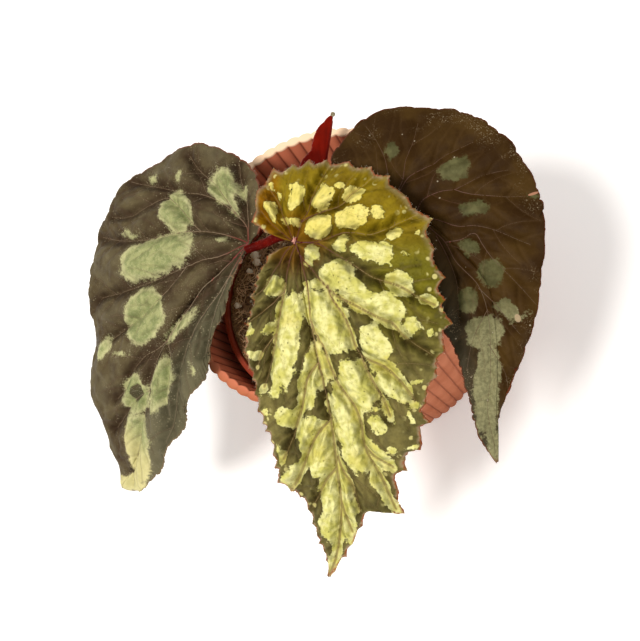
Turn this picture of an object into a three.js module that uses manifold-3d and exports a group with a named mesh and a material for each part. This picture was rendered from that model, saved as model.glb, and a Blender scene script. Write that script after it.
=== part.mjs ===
// Potted begonia: a rhizomatous begonia in a plastic nursery pot, which stands loose in a fluted pot.
// Millimetres, +Z up. The origin is the centre of the fluted pot's underside, and -Y is the front.

import * as THREE from 'three';
import { mergeVertices } from 'three/addons/utils/BufferGeometryUtils.js';
import Module from 'manifold-3d';

const wasm = await Module();
wasm.setup();

// ---------------------------------------------------------------- driving dimensions

const gap = 0.3;                 // clearance between pieces that touch

const flutedPot = {
  height: 110, rimRadius: 70, baseRadius: 54, floor: 4,
  ribs: 66, ribDepth: 1, valleyWall: 2.4, facetsPerRib: 4,
};

const nurseryPot = {
  x: -1, y: -10, height: 94, rimRadius: 52, baseRadius: 37,
  wall: 1.2, lipHeight: 7, lipReach: 1.2, floor: 1.5,
  holes: 6, holeRadius: 4, holeRing: 24, segments: 48,
};

const mix = {
  depthBelowRim: 10, columns: 44, relief: 1.6,
  rings: [0.94, 0.84, 0.72, 0.6, 0.47, 0.33, 0.18],
  perlite: 12, perliteRadius: [1.2, 2.4], roots: 8, rootRadius: 0.5, bareRadius: 24,
};

const rhizome = {
  from: [-16, -9, 90], middle: [1, -5, 92], to: [17, -8, 90],
  radius: 6.5, swelling: 0.9, swellings: 6, sides: 10, steps: 18,
};

const petiole = { sides: 8, steps: 14 };

const blade = {
  thickness: 0.9, rows: 4, waves: 5, rootCrowding: 1.6, toothLean: 0.35, smallTooth: 0.6, clearOfPetiole: 0.4,
};

// A leaf lies in its own frame: its base is at `base`, it points along `heading` (degrees from +X),
// turned about that line by `roll`, and it falls away by `slope` at the base and by `curl` degrees more in
// each 100 mm. Each half droops by `droop` degrees in each 100 mm and starts out turned down by `fold`. The outlines are flat sizes from
// the base: along the leaf, then to its left. `veins` are the places of the main veins on each outline,
// from 0 at the base to 1 at the tip, and the blade is quilted between them.
const leaves = {
  leaf_centre: {
    base: [7, -7, 150], heading: -96, roll: 0, slope: 10, curl: 24, fold: 0, droop: 16,
    midrib: [[0, 0], [38, 6], [62, 11], [90, 14], [120, 11], [153, 0]],
    left: {
      outline: [[-5, -15], [-15, -20], [-26, -18], [-33, -8], [-35, 8], [-30, 29], [-21, 43], [-9, 53],
        [4, 58], [21, 61], [37, 63], [55, 59], [70, 53], [86, 50], [95, 41], [103, 38], [118, 37],
        [117, 25], [133, 15], [153, 0]],
      toothHeight: 2.6, veins: [0, 0.13, 0.27, 0.4, 0.53, 0.66, 0.8, 0.92, 1],
    },
    right: {
      outline: [[3, -9], [15, -18], [32, -22], [50, -24], [61, -21], [80, -17], [104, -12], [113, -4],
        [128, 0], [142, 1], [153, 0]],
      toothHeight: 1.8, veins: [0, 0.22, 0.42, 0.6, 0.8, 1],
    },
    teeth: 28, quilt: 3.2, wave: 1.2,
  },
  leaf_left: {
    base: [-26, 2, 135], heading: -136, roll: 0, slope: 8, curl: 26, fold: 0, droop: 18,
    midrib: [[0, 0], [36, -7], [60, -9], [85, -5], [118, 1], [150, -3]],
    left: {
      outline: [[4, 3], [24, 9], [46, 16], [59, 20], [72, 19], [86, 22], [101, 18], [114, 18], [133, 13],
        [143, 7], [150, -3]],
      toothHeight: 1.2, veins: [0, 0.25, 0.5, 0.75, 1],
    },
    right: {
      outline: [[-9, 2], [-25, -14], [-30, -29], [-28, -45], [-22, -61], [-12, -73], [4, -83], [20, -91],
        [36, -90], [50, -91], [66, -83], [79, -69], [91, -56], [107, -52], [119, -42], [124, -30], [137, -18],
        [145, -8], [150, -3]],
      toothHeight: 1.3, veins: [0, 0.14, 0.28, 0.42, 0.57, 0.72, 0.86, 1],
    },
    teeth: 14, quilt: 3.6, wave: 1.6,
  },
  leaf_right: {
    base: [54.5, 6, 132], heading: -80, roll: 0, slope: 12, curl: 22, fold: 0, droop: 16,
    midrib: [[0, 0], [16, 11], [39, 21], [66, 17], [87, 10], [114, 1]],
    left: {
      outline: [[-7, -13], [-20, -27], [-37, -32], [-47, -21], [-51, -5], [-48, 11], [-38, 31], [-22, 44],
        [-4, 51], [13, 52], [28, 49], [42, 43], [56, 37], [69, 28], [81, 18], [95, 8], [105, 4], [114, 1]],
      toothHeight: 1.1, veins: [0, 0.16, 0.32, 0.48, 0.64, 0.8, 1],
    },
    right: {
      outline: [[5, -8], [18, -14], [34, -11], [52, -2], [67, 0], [84, -1], [99, -2], [108, -1], [114, 1]],
      toothHeight: 0.9, veins: [0, 0.3, 0.6, 1],
    },
    teeth: 16, quilt: 2.4, wave: 1.4,
  },
  leaf_young: {
    base: [5, 30, 119], heading: 54, roll: -60, slope: -24, curl: 0, fold: -72, droop: 0,
    midrib: [[0, 0], [15, 0], [32, 0], [42, 0]],
    left: {
      outline: [[-3, 4], [3, 9], [13, 10], [24, 7], [33, 3.5], [39, 1], [42, 0]],
      toothHeight: 0.8, veins: [0, 0.33, 0.66, 1],
    },
    right: {
      outline: [[-3, -4], [3, -9], [13, -10], [24, -7], [33, -3.5], [39, -1], [42, 0]],
      toothHeight: 0.8, veins: [0, 0.33, 0.66, 1],
    },
    teeth: 6, quilt: 0.8, wave: 0.4,
  },
};

// Each leaf stalk rises from the rhizome through `points` to the base of its leaf. It ends square to the
// blade's underside, or, where it meets the leaf along, it runs level under the notch of the blade.
const petioles = {
  petiole_centre: { leaf: 'leaf_centre', meets: 'underside', radii: [2.9, 2.2], rise: 9,
    points: [[2, -7, 94], [0, -5, 112], [4, -6, 131]] },
  petiole_left: { leaf: 'leaf_left', meets: 'along', radii: [2.8, 2.1], rise: 9,
    points: [[11, -5, 94], [13, 2, 110], [9, 5, 127], [-6, 4, 136]] },
  petiole_right: { leaf: 'leaf_right', meets: 'underside', radii: [2.8, 2.1], rise: 8,
    points: [[17, -9, 92], [27, -8, 106], [43, 0, 117]] },
  petiole_young: { leaf: 'leaf_young', meets: 'along', radii: [2.1, 1.6], rise: 5,
    points: [[-8, -7, 94], [-8, 4, 102], [-1, 18, 110]] },
};

const finishes = {
  flutedPot: { color: '#c5735a', roughness: 0.85, metalness: 0 },
  nurseryPot: { color: '#7a2d1c', roughness: 0.5, metalness: 0 },
  mix: { color: '#3a2416', roughness: 1, metalness: 0 },
  rhizome: { color: '#6b4a2c', roughness: 0.8, metalness: 0 },
  petiole: { color: '#7d1410', roughness: 0.6, metalness: 0 },
  leaf_centre: { color: '#7f7a2e', roughness: 0.55, metalness: 0 },
  leaf_left: { color: '#5c5340', roughness: 0.6, metalness: 0 },
  leaf_right: { color: '#3f2812', roughness: 0.45, metalness: 0 },
  leaf_young: { color: '#8b1200', roughness: 0.5, metalness: 0 },
};

// ---------------------------------------------------------------- helpers

const radians = THREE.MathUtils.degToRad;
const vector = (values) => new THREE.Vector3(...values);

// A seeded draw between two values, the same on every run.
function seededDraw(seed) {
  let state = seed;
  return (low, high) => {
    state = (state * 1664525 + 1013904223) % 4294967296;
    return low + (high - low) * state / 4294967296;
  };
}

function indexedGeometry(points, triangles) {
  const geometry = new THREE.BufferGeometry();
  const positions = points.flatMap((point) => [point.x, point.y, point.z]);
  geometry.setAttribute('position', new THREE.Float32BufferAttribute(positions, 3));
  geometry.setIndex(triangles.flat());
  return geometry;
}

// A closed skin over rings of equal count, with one pole point before the first ring and one after the last.
// The rings run anticlockwise as seen from the end they lead to.
function loftRings(rings, firstPole, lastPole) {
  const count = rings[0].length;
  const points = [firstPole, ...rings.flat(), lastPole];
  const at = (ring, column) => 1 + ring * count + (column % count);
  const triangles = [];
  for (let column = 0; column < count; column++) {
    triangles.push([0, at(0, column + 1), at(0, column)]);
    triangles.push([points.length - 1, at(rings.length - 1, column), at(rings.length - 1, column + 1)]);
    for (let ring = 0; ring + 1 < rings.length; ring++) {
      triangles.push([at(ring, column), at(ring, column + 1), at(ring + 1, column + 1)]);
      triangles.push([at(ring, column), at(ring + 1, column + 1), at(ring + 1, column)]);
    }
  }
  return indexedGeometry(points, triangles);
}

// A round bar along a curve, whose radius follows radiusAt from 0 at its start to 1 at its end.
function sweep(curve, radiusAt, sides, steps) {
  const frames = curve.computeFrenetFrames(steps, false);
  const rings = [];
  for (let step = 0; step <= steps; step++) {
    const centre = curve.getPointAt(step / steps);
    const radius = radiusAt(step / steps);
    rings.push(Array.from({ length: sides }, (_, side) => {
      const angle = 2 * Math.PI * side / sides;
      return centre.clone()
        .addScaledVector(frames.normals[step], radius * Math.cos(angle))
        .addScaledVector(frames.binormals[step], radius * Math.sin(angle));
    }));
  }
  return loftRings(rings, curve.getPointAt(0), curve.getPointAt(1));
}

function solidOf(geometry) {
  const mesh = new wasm.Mesh({
    numProp: 3,
    vertProperties: Float32Array.from(geometry.getAttribute('position').array),
    triVerts: Uint32Array.from(geometry.getIndex().array),
  });
  return new wasm.Manifold(mesh);
}

function geometryOf(solid) {
  const mesh = solid.getMesh();
  const geometry = new THREE.BufferGeometry();
  geometry.setAttribute('position', new THREE.BufferAttribute(mesh.vertProperties, 3));
  geometry.setIndex(new THREE.BufferAttribute(mesh.triVerts, 1));
  return geometry;
}

function piece(name, geometry, finish) {
  geometry.computeVertexNormals();
  const mesh = new THREE.Mesh(geometry, new THREE.MeshStandardMaterial(finish));
  mesh.name = name;
  return mesh;
}

// ---------------------------------------------------------------- fluted pot

// A rib bows out between two sharp valleys: 0 in the valley and 1 on the crown.
const ribCrown = (place) => 1 - (2 * place - 1) ** 2;

function fluteRing(height, outside) {
  const { ribs, facetsPerRib, ribDepth, valleyWall, rimRadius, baseRadius } = flutedPot;
  const crownRadius = THREE.MathUtils.lerp(baseRadius, rimRadius, height / flutedPot.height);
  const valleyRadius = crownRadius - ribDepth - (outside ? 0 : valleyWall);
  const bow = outside ? ribDepth : -ribDepth;
  return Array.from({ length: ribs * facetsPerRib }, (_, column) => {
    const angle = 2 * Math.PI * column / (ribs * facetsPerRib);
    const radius = valleyRadius + bow * ribCrown((column % facetsPerRib) / facetsPerRib);
    return new THREE.Vector3(radius * Math.cos(angle), radius * Math.sin(angle), height);
  });
}

function makeFlutedPot() {
  const { height, floor } = flutedPot;
  const rings = [fluteRing(0, true), fluteRing(height, true), fluteRing(height, false), fluteRing(floor, false)];
  return loftRings(rings, new THREE.Vector3(0, 0, 0), new THREE.Vector3(0, 0, floor));
}

// ---------------------------------------------------------------- nursery pot

const nurseryFoot = flutedPot.floor + gap;
const nurseryTop = nurseryFoot + nurseryPot.height;

// The radius of the tapering wall's outer face at a height above the pot's foot.
function nurseryRadius(rise) {
  const { baseRadius, rimRadius, lipReach, height } = nurseryPot;
  return THREE.MathUtils.lerp(baseRadius, rimRadius - lipReach, rise / height);
}

function makeNurseryPot() {
  const { height, wall, lipHeight, rimRadius, floor, holes, holeRadius, holeRing, segments } = nurseryPot;
  const profile = [
    [0, 0], [nurseryRadius(0), 0], [nurseryRadius(height - lipHeight), height - lipHeight],
    [rimRadius, height - lipHeight], [rimRadius, height], [nurseryRadius(height) - wall, height],
    [nurseryRadius(floor) - wall, floor], [0, floor],
  ];
  const rings = profile.slice(1, -1).map(([radius, rise]) => Array.from({ length: segments }, (_, column) => {
    const angle = 2 * Math.PI * column / segments;
    return new THREE.Vector3(radius * Math.cos(angle), radius * Math.sin(angle), rise);
  }));
  let shell = solidOf(loftRings(rings, new THREE.Vector3(0, 0, 0), new THREE.Vector3(0, 0, floor)));
  const down = new THREE.Vector3(0, 0, -3);
  const up = new THREE.Vector3(0, 0, floor + 3);
  const drill = sweep(new THREE.LineCurve3(down, up), () => holeRadius, 12, 1);
  for (let hole = 0; hole < holes; hole++) {
    const angle = 2 * Math.PI * hole / holes;
    const bore = drill.clone().translate(holeRing * Math.cos(angle), holeRing * Math.sin(angle), 0);
    shell = shell.subtract(solidOf(bore));
  }
  return geometryOf(shell).translate(nurseryPot.x, nurseryPot.y, nurseryFoot);
}

// ---------------------------------------------------------------- leaf surfaces

// The distance covered and the fall along an arc whose slope starts at `start` and grows by `rate` per mm.
function arc(length, start, rate) {
  if (Math.abs(rate) < 1e-9) return [length * Math.cos(start), length * Math.sin(start)];
  return [
    (Math.sin(start + rate * length) - Math.sin(start)) / rate,
    (Math.cos(start) - Math.cos(start + rate * length)) / rate,
  ];
}

// The point of a leaf's carrier surface at flat place (along, across), and the surface's upward normal there.
function carrier(leaf, along, across) {
  const heading = radians(leaf.heading);
  const forward = new THREE.Vector3(Math.cos(heading), Math.sin(heading), 0);
  const leftward = new THREE.Vector3(-Math.sin(heading), Math.cos(heading), 0);
  leftward.applyAxisAngle(forward, radians(leaf.roll));
  const up = forward.clone().cross(leftward);
  const rate = radians(leaf.curl) / 100;
  const slope = radians(leaf.slope) + rate * along;
  const [reach, fall] = arc(along, radians(leaf.slope), rate);
  const [aside, sag] = arc(Math.abs(across), radians(leaf.fold), radians(leaf.droop) / 100);
  const lift = forward.clone().multiplyScalar(Math.sin(slope)).addScaledVector(up, Math.cos(slope));
  const point = vector(leaf.base).addScaledVector(forward, reach).addScaledVector(up, -fall)
    .addScaledVector(leftward, Math.sign(across) * aside).addScaledVector(lift, -sag);
  const tilt = Math.sign(across) * (radians(leaf.fold) + radians(leaf.droop) / 100 * Math.abs(across));
  const normal = lift.multiplyScalar(Math.cos(tilt)).addScaledVector(leftward, Math.sin(tilt));
  return { point, normal };
}

const splineOf = (places) => new THREE.SplineCurve(places.map(([x, y]) => new THREE.Vector2(x, y)));

// How far the blade bulges between two main veins, at `place` along the outline.
function bulge(veins, place) {
  const next = veins.findIndex((vein) => vein >= place);
  if (next < 1) return 0;
  return Math.sin(Math.PI * (place - veins[next - 1]) / (veins[next] - veins[next - 1]));
}

// The flat outline points of one half, base to tip: each tooth is a notch, then a point turned tipwards.
function toothedOutline(leaf, half, side) {
  const curve = splineOf(half.outline);
  return Array.from({ length: 2 * leaf.teeth }, (_, index) => {
    const pointed = index % 2 === 1;
    const place = (index + (pointed ? blade.toothLean : 0)) / (2 * leaf.teeth);
    const along = curve.getTangentAt(place);
    const height = pointed ? half.toothHeight * (index % 4 === 1 ? 1 : blade.smallTooth) : 0;
    const outward = new THREE.Vector2(-along.y, along.x).multiplyScalar(side * height);
    return { place, flat: curve.getPointAt(place).add(outward) };
  });
}

// One half of a blade is a fan of rays, from the midrib out to the outline. The first rays leave the midrib
// close to the leaf's base, and the later ones further along it. Each ray holds its points, base end first,
// on the upper and the lower face.
function halfRays(leaf, half, side) {
  const midrib = splineOf(leaf.midrib);
  return toothedOutline(leaf, half, side).map(({ place, flat }, index) => {
    const root = midrib.getPointAt(((index + 0.5) / (2 * leaf.teeth + 0.5)) ** blade.rootCrowding);
    return Array.from({ length: blade.rows + 1 }, (_, row) => {
      const outward = row / blade.rows;
      const spot = root.clone().lerp(flat, outward);
      const quilting = leaf.quilt * bulge(half.veins, place) * Math.sin(Math.PI * outward ** 0.8);
      const waving = leaf.wave * Math.sin(2 * Math.PI * blade.waves * place) * outward ** 3;
      return bladePoint(leaf, spot, quilting + waving);
    });
  });
}

// The upper and lower points of the blade at a flat spot, raised by `lift` from the carrier surface.
function bladePoint(leaf, spot, lift) {
  const { point, normal } = carrier(leaf, spot.x, spot.y);
  const top = point.addScaledVector(normal, lift);
  return { top, bottom: top.clone().addScaledVector(normal, -blade.thickness) };
}

function makeLeaf(leaf) {
  const left = halfRays(leaf, leaf.left, 1);
  const right = halfRays(leaf, leaf.right, -1);
  const tip = bladePoint(leaf, new THREE.Vector2(...leaf.midrib.at(-1)), 0);
  const corners = [];
  const face = (a, b, c) => corners.push(a.top, b.top, c.top, a.bottom, c.bottom, b.bottom);
  const edge = (a, b) => corners.push(a.top, a.bottom, b.bottom, a.top, b.bottom, b.top);
  const faceOn = (side, a, b, c) => (side > 0 ? face(a, b, c) : face(a, c, b));
  const edgeOn = (side, a, b) => (side > 0 ? edge(b, a) : edge(a, b));
  for (const [rays, side] of [[left, 1], [right, -1]]) {
    const last = rays.at(-1);
    for (let row = 0; row < blade.rows; row++) {
      for (let index = 0; index + 1 < rays.length; index++) {
        const [near, next] = [rays[index], rays[index + 1]];
        faceOn(side, near[row], next[row], next[row + 1]);
        faceOn(side, near[row], next[row + 1], near[row + 1]);
      }
      faceOn(side, last[row], tip, last[row + 1]);
      edgeOn(side, rays[0][row], rays[0][row + 1]);
    }
    for (let index = 0; index + 1 < rays.length; index++) {
      edgeOn(side, rays[index][blade.rows], rays[index + 1][blade.rows]);
    }
    edgeOn(side, last[blade.rows], tip);
  }
  const geometry = new THREE.BufferGeometry().setFromPoints(corners);
  return mergeVertices(geometry, 1e-4);
}

// ---------------------------------------------------------------- rhizome and leaf stalks

const rhizomeCurve = new THREE.CatmullRomCurve3([rhizome.from, rhizome.middle, rhizome.to].map(vector));

// The creeping stem swells at each old leaf scar and rounds off at both ends.
function rhizomeRadius(place, extra) {
  const rounding = Math.sqrt(Math.max(0, 1 - Math.abs(2 * place - 1) ** 6));
  const knobs = rhizome.swelling * Math.cos(2 * Math.PI * rhizome.swellings * place);
  return Math.max(1, (rhizome.radius + knobs) * rounding) + extra;
}

function petioleCurve({ leaf: leafName, meets, rise, radii, points }) {
  const { point, normal } = carrier(leaves[leafName], 0, 0);
  const depth = blade.thickness + blade.clearOfPetiole;
  if (meets === 'underside') {
    const turn = point.clone().addScaledVector(normal, -depth - rise);
    return new THREE.CatmullRomCurve3([...points.map(vector), turn, point.addScaledVector(normal, -depth)]);
  }
  const end = point.addScaledVector(normal, -depth - radii[1]);
  const approach = vector(points.at(-1)).sub(end);
  approach.addScaledVector(normal, -approach.dot(normal)).normalize();
  return new THREE.CatmullRomCurve3([...points.map(vector), end.clone().addScaledVector(approach, rise), end]);
}

const petioleSolid = (stalk, extra) => sweep(petioleCurve(stalk),
  (place) => THREE.MathUtils.lerp(...stalk.radii, place) + extra, petiole.sides, petiole.steps);

// The rhizome has a plain socket for the foot of each leaf stalk.
function makeRhizome() {
  let body = solidOf(sweep(rhizomeCurve, (place) => rhizomeRadius(place, 0), rhizome.sides, rhizome.steps));
  for (const stalk of Object.values(petioles)) body = body.subtract(solidOf(petioleSolid(stalk, gap)));
  return geometryOf(body);
}

// ---------------------------------------------------------------- potting mix

// The mix fills the nursery pot with an uneven top. Perlite grains and root strands stand out of it, and a
// plain trough holds the rhizome.
function makeMix() {
  const draw = seededDraw(7);
  const bottom = nurseryPot.floor + gap;
  const top = nurseryPot.height - mix.depthBelowRim;
  const innerRadius = (rise) => nurseryRadius(rise) - nurseryPot.wall - gap;
  const ring = (radius, rise, relief) => Array.from({ length: mix.columns }, (_, column) => {
    const angle = 2 * Math.PI * column / mix.columns;
    return new THREE.Vector3(radius * Math.cos(angle), radius * Math.sin(angle), rise + draw(-relief, relief));
  });
  const rings = [ring(innerRadius(bottom), bottom, 0), ring(innerRadius(top) - 0.2, top, 0),
    ...mix.rings.map((share) => ring(share * innerRadius(top), top, mix.relief))];
  const foot = new THREE.Vector3(0, 0, bottom);
  let body = solidOf(loftRings(rings, foot, new THREE.Vector3(0, 0, top)));
  const reach = innerRadius(top) - 4;
  for (let grain = 0; grain < mix.perlite; grain++) {
    const [angle, distance] = [draw(0, 2 * Math.PI), draw(mix.bareRadius, reach)];
    const lump = mergeVertices(barePositions(new THREE.IcosahedronGeometry(draw(...mix.perliteRadius), 0)));
    lump.rotateX(draw(0, 3)).rotateZ(draw(0, 3));
    lump.translate(distance * Math.cos(angle), distance * Math.sin(angle), top + draw(0.2, 0.8));
    body = body.add(solidOf(lump));
  }
  for (let strand = 0; strand < mix.roots; strand++) {
    const [angle, distance, turn] = [draw(0, 2 * Math.PI), draw(mix.bareRadius + 4, reach), draw(-0.3, 0.3)];
    const at = (sweepAngle, rise) => new THREE.Vector3(
      (distance + 3 * turn) * Math.cos(angle + sweepAngle), distance * Math.sin(angle + sweepAngle), top + rise);
    const curve = new THREE.CatmullRomCurve3([at(-0.18, -2.5), at(-0.06, 1.5), at(0.08, 1.2), at(0.2, -2.5)]);
    body = body.add(solidOf(sweep(curve, () => mix.rootRadius, 4, 6)));
  }
  const trough = sweep(rhizomeCurve, (place) => rhizomeRadius(place, gap), rhizome.sides, rhizome.steps);
  body = body.translate([nurseryPot.x, nurseryPot.y, nurseryFoot]).subtract(solidOf(trough));
  return geometryOf(largestOf(body));
}

// Icosahedron corners without the attributes that keep shared corners apart.
function barePositions(geometry) {
  geometry.deleteAttribute('normal');
  geometry.deleteAttribute('uv');
  return geometry;
}

const largestOf = (solid) => solid.decompose().sort((one, other) => other.volume() - one.volume())[0];

// ---------------------------------------------------------------- assembly

const begonia = new THREE.Group();
begonia.add(piece('fluted_pot', makeFlutedPot(), finishes.flutedPot));
begonia.add(piece('nursery_pot', makeNurseryPot(), finishes.nurseryPot));
begonia.add(piece('potting_mix', makeMix(), finishes.mix));
begonia.add(piece('rhizome', makeRhizome(), finishes.rhizome));
for (const [name, stalk] of Object.entries(petioles)) {
  begonia.add(piece(name, petioleSolid(stalk, 0), finishes.petiole));
}
for (const [name, leaf] of Object.entries(leaves)) {
  begonia.add(piece(name, makeLeaf(leaf), finishes[name]));
}

export default begonia;
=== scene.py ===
import math
import random

import bpy
import numpy as np
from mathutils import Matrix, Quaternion, Vector, noise


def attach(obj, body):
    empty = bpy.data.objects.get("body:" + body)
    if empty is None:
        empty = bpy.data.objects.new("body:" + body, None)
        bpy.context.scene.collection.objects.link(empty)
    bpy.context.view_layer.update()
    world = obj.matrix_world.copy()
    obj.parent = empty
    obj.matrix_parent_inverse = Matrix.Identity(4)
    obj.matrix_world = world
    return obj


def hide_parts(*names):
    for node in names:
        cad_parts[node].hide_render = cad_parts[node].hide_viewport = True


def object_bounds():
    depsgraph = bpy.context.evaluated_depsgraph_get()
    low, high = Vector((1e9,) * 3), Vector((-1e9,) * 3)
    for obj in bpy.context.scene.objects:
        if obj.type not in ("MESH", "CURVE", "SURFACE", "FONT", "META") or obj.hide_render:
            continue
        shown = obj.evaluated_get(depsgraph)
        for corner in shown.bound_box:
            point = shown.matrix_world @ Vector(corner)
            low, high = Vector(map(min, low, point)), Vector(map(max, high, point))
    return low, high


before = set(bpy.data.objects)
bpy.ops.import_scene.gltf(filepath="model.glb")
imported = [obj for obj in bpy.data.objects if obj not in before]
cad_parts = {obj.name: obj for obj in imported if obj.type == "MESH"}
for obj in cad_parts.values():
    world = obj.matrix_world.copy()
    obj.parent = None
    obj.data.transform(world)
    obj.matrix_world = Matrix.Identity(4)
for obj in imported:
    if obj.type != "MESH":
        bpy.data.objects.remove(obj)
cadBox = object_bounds()
bpy.ops.object.select_all(action="DESELECT")
mm = 0.001


# Camera, light and floor. Places are in mm.
view = {
    "at": (183.8, -208.9, 564.4),
    "lookAt": (-11.8, -15.1, 76.8),
    "roll": -49.2,                     # degrees about the line of sight
    "focal": 1150,                     # in pixels of an image `width` wide
    "width": 640,
    "sensor": 36,                      # mm
    "sun": (-0.2, -0.3, 0.93),         # towards the sun
    "sunStrength": 2.5,
    "sunAngle": 15,                    # degrees
    "sunColour": (1.0, 0.95, 0.87),
    "skyColour": (1.0, 0.95, 0.87),
    "skyStrength": 0.66,
    "floorSize": 3.0,                  # metres
    "floorColour": (0.92, 0.94, 0.98, 1),
    "floorGlow": 0.25,
}


def setCamera():
    bpy.ops.object.camera_add(location=Vector(view["at"]) * mm)
    camera = bpy.context.object
    aim = Vector(view["lookAt"]) - Vector(view["at"])
    turn = aim.to_track_quat("-Z", "Y") @ Quaternion((0, 0, 1), math.radians(view["roll"]))
    camera.rotation_euler = turn.to_euler()
    camera.data.sensor_width = view["sensor"]
    camera.data.lens = view["focal"] / view["width"] * view["sensor"]
    bpy.context.scene.camera = camera


def setLight():
    bpy.ops.object.light_add(type="SUN")
    sun = bpy.context.object
    sun.rotation_euler = Vector(view["sun"]).to_track_quat("Z", "Y").to_euler()
    sun.data.energy = view["sunStrength"]
    sun.data.color = view["sunColour"]
    sun.data.angle = math.radians(view["sunAngle"])
    world = bpy.data.worlds.new("paleRoom")
    world.use_nodes = True
    sky = world.node_tree.nodes["Background"]
    sky.inputs["Color"].default_value = (*view["skyColour"], 1)
    sky.inputs["Strength"].default_value = view["skyStrength"]
    bpy.context.scene.world = world
    bpy.context.scene.view_settings.view_transform = "Standard"


# One socket of a node tree. Arithmetic on it adds Math nodes.
class Wire:
    def __init__(self, finish, socket):
        self.finish = finish
        self.socket = socket

    def maths(self, operation, first, second=0.0):
        return self.finish.node("Math", {"operation": operation}, {0: first, 1: second})

    def __add__(self, other):
        return self.maths("ADD", self, other)

    def __radd__(self, other):
        return self.maths("ADD", other, self)

    def __sub__(self, other):
        return self.maths("SUBTRACT", self, other)

    def __rsub__(self, other):
        return self.maths("SUBTRACT", other, self)

    def __mul__(self, other):
        return self.maths("MULTIPLY", self, other)

    def __rmul__(self, other):
        return self.maths("MULTIPLY", other, self)

    def __truediv__(self, other):
        return self.maths("DIVIDE", self, other)

    # 0 at `low`, 1 at `high` and eased between them; `low` may be the larger.
    def ease(self, low, high):
        first, last = (1.0, 0.0) if low > high else (0.0, 1.0)
        sockets = {0: self, 1: min(low, high), 2: max(low, high), 3: first, 4: last}
        return self.finish.node("MapRange", {"interpolation_type": "SMOOTHSTEP"}, sockets)


# A material under construction, with its Principled shader.
class Finish:
    def __init__(self, name, **constants):
        self.material = bpy.data.materials.new(name)
        self.material.use_nodes = True
        self.tree = self.material.node_tree
        self.shader = self.tree.nodes["Principled BSDF"]
        for socket, value in constants.items():
            self.shader.inputs[socket.replace("_", " ")].default_value = value

    # Every node is made here: its settings first, then the values and links of its sockets.
    def node(self, kind, settings=None, sockets=None, output=0):
        made = self.tree.nodes.new("ShaderNode" + kind)
        for key, value in (settings or {}).items():
            setattr(made, key, value)
        for key, value in (sockets or {}).items():
            if isinstance(value, Wire):
                self.tree.links.new(value.socket, made.inputs[key])
            else:
                made.inputs[key].default_value = (*value, 1) if self.isColour(value) else value
        return Wire(self, made.outputs[output])

    @staticmethod
    def isColour(value):
        return isinstance(value, tuple) and len(value) == 3

    def place(self):
        return self.node("TexCoord", output="Object")

    # 0 where the place on an axis is `low` mm and 1 where it is `high` mm.
    def reached(self, axis, low, high):
        return self.node("SeparateXYZ", None, {0: self.place()}, axis).ease(low * mm, high * mm)

    def attribute(self, name):
        return self.node("Attribute", {"attribute_name": name}, output="Fac")

    # `size` is in mm here and in `cells`.
    def noise(self, size, detail=3.0, roughness=0.55):
        sockets = {"Vector": self.place(), "Scale": 1 / (size * mm), "Detail": detail, "Roughness": roughness}
        return self.node("TexNoise", None, sockets, "Fac")

    def cells(self, size, feature="F1"):
        sockets = {"Vector": self.place(), "Scale": 1 / (size * mm)}
        return self.node("TexVoronoi", {"feature": feature}, sockets, "Distance")

    def blend(self, factor, first, second):
        return self.node("Mix", {"data_type": "RGBA"}, {0: factor, 6: first, 7: second}, 2)

    # Lays layers over a tone, one after another. A layer is (how much, colour).
    def over(self, tone, *layers):
        for share, colour in layers:
            tone = self.blend(share, tone, colour)
        return tone

    def bump(self, height, depth, strength=1.0):
        sockets = {"Height": height, "Distance": depth * mm, "Strength": strength}
        return self.node("Bump", None, sockets, "Normal")

    def feed(self, **wires):
        for socket, wire in wires.items():
            self.tree.links.new(wire.socket, self.shader.inputs[socket.replace("_", " ")])
        return self.material


def deselectAll():
    bpy.ops.object.select_all(action="DESELECT")


def only(piece):
    deselectAll()
    piece.select_set(True)
    bpy.context.view_layer.objects.active = piece


def applyModifier(piece, kind, **settings):
    only(piece)
    modifier = piece.modifiers.new(kind.title(), kind)
    for key, value in settings.items():
        setattr(modifier, key, value)
    bpy.ops.object.modifier_apply(modifier=modifier.name)


def joined(pieces, name):
    deselectAll()
    for piece in pieces:
        piece.select_set(True)
    bpy.context.view_layer.objects.active = pieces[0]
    bpy.ops.object.join()
    pieces[0].name = name
    pieces[0].data.name = name
    return pieces[0]


def cleaned(piece):
    only(piece)
    bpy.ops.object.mode_set(mode="EDIT")
    bpy.ops.mesh.select_all(action="SELECT")
    bpy.ops.mesh.remove_doubles(threshold=0.01 * mm)
    bpy.ops.mesh.normals_make_consistent(inside=False)
    bpy.ops.object.mode_set(mode="OBJECT")
    return piece


def smooth(piece, angle=None):
    only(piece)
    if angle is None:
        bpy.ops.object.shade_smooth()
    else:
        bpy.ops.object.shade_smooth_by_angle(angle=math.radians(angle))
    return piece


def corners(piece):
    places = np.empty(len(piece.data.vertices) * 3)
    piece.data.vertices.foreach_get("co", places)
    return places.reshape(-1, 3)


def setCorners(piece, places):
    piece.data.vertices.foreach_set("co", np.asarray(places, dtype=float).ravel())
    piece.data.update()


def keepValues(piece, name, values):
    layer = piece.data.attributes.new(name, "FLOAT", "POINT")
    layer.data.foreach_set("value", np.asarray(values, dtype=np.float32).ravel())


def meshPiece(name, places, faces):
    mesh = bpy.data.meshes.new(name)
    mesh.from_pydata([tuple(place) for place in places], [], faces)
    piece = bpy.data.objects.new(name, mesh)
    bpy.context.collection.objects.link(piece)
    return piece


# Nothing reaches past the part's own box.
def finished(piece, finishes, nodes):
    low, high = (np.array(corner) for corner in cadBox)
    setCorners(piece, np.clip(corners(piece), low + 0.02 * mm, high - 0.02 * mm))
    piece.data.materials.clear()
    for finish in finishes:
        piece.data.materials.append(finish)
    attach(piece, "root")
    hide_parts(*nodes)
    return piece


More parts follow.
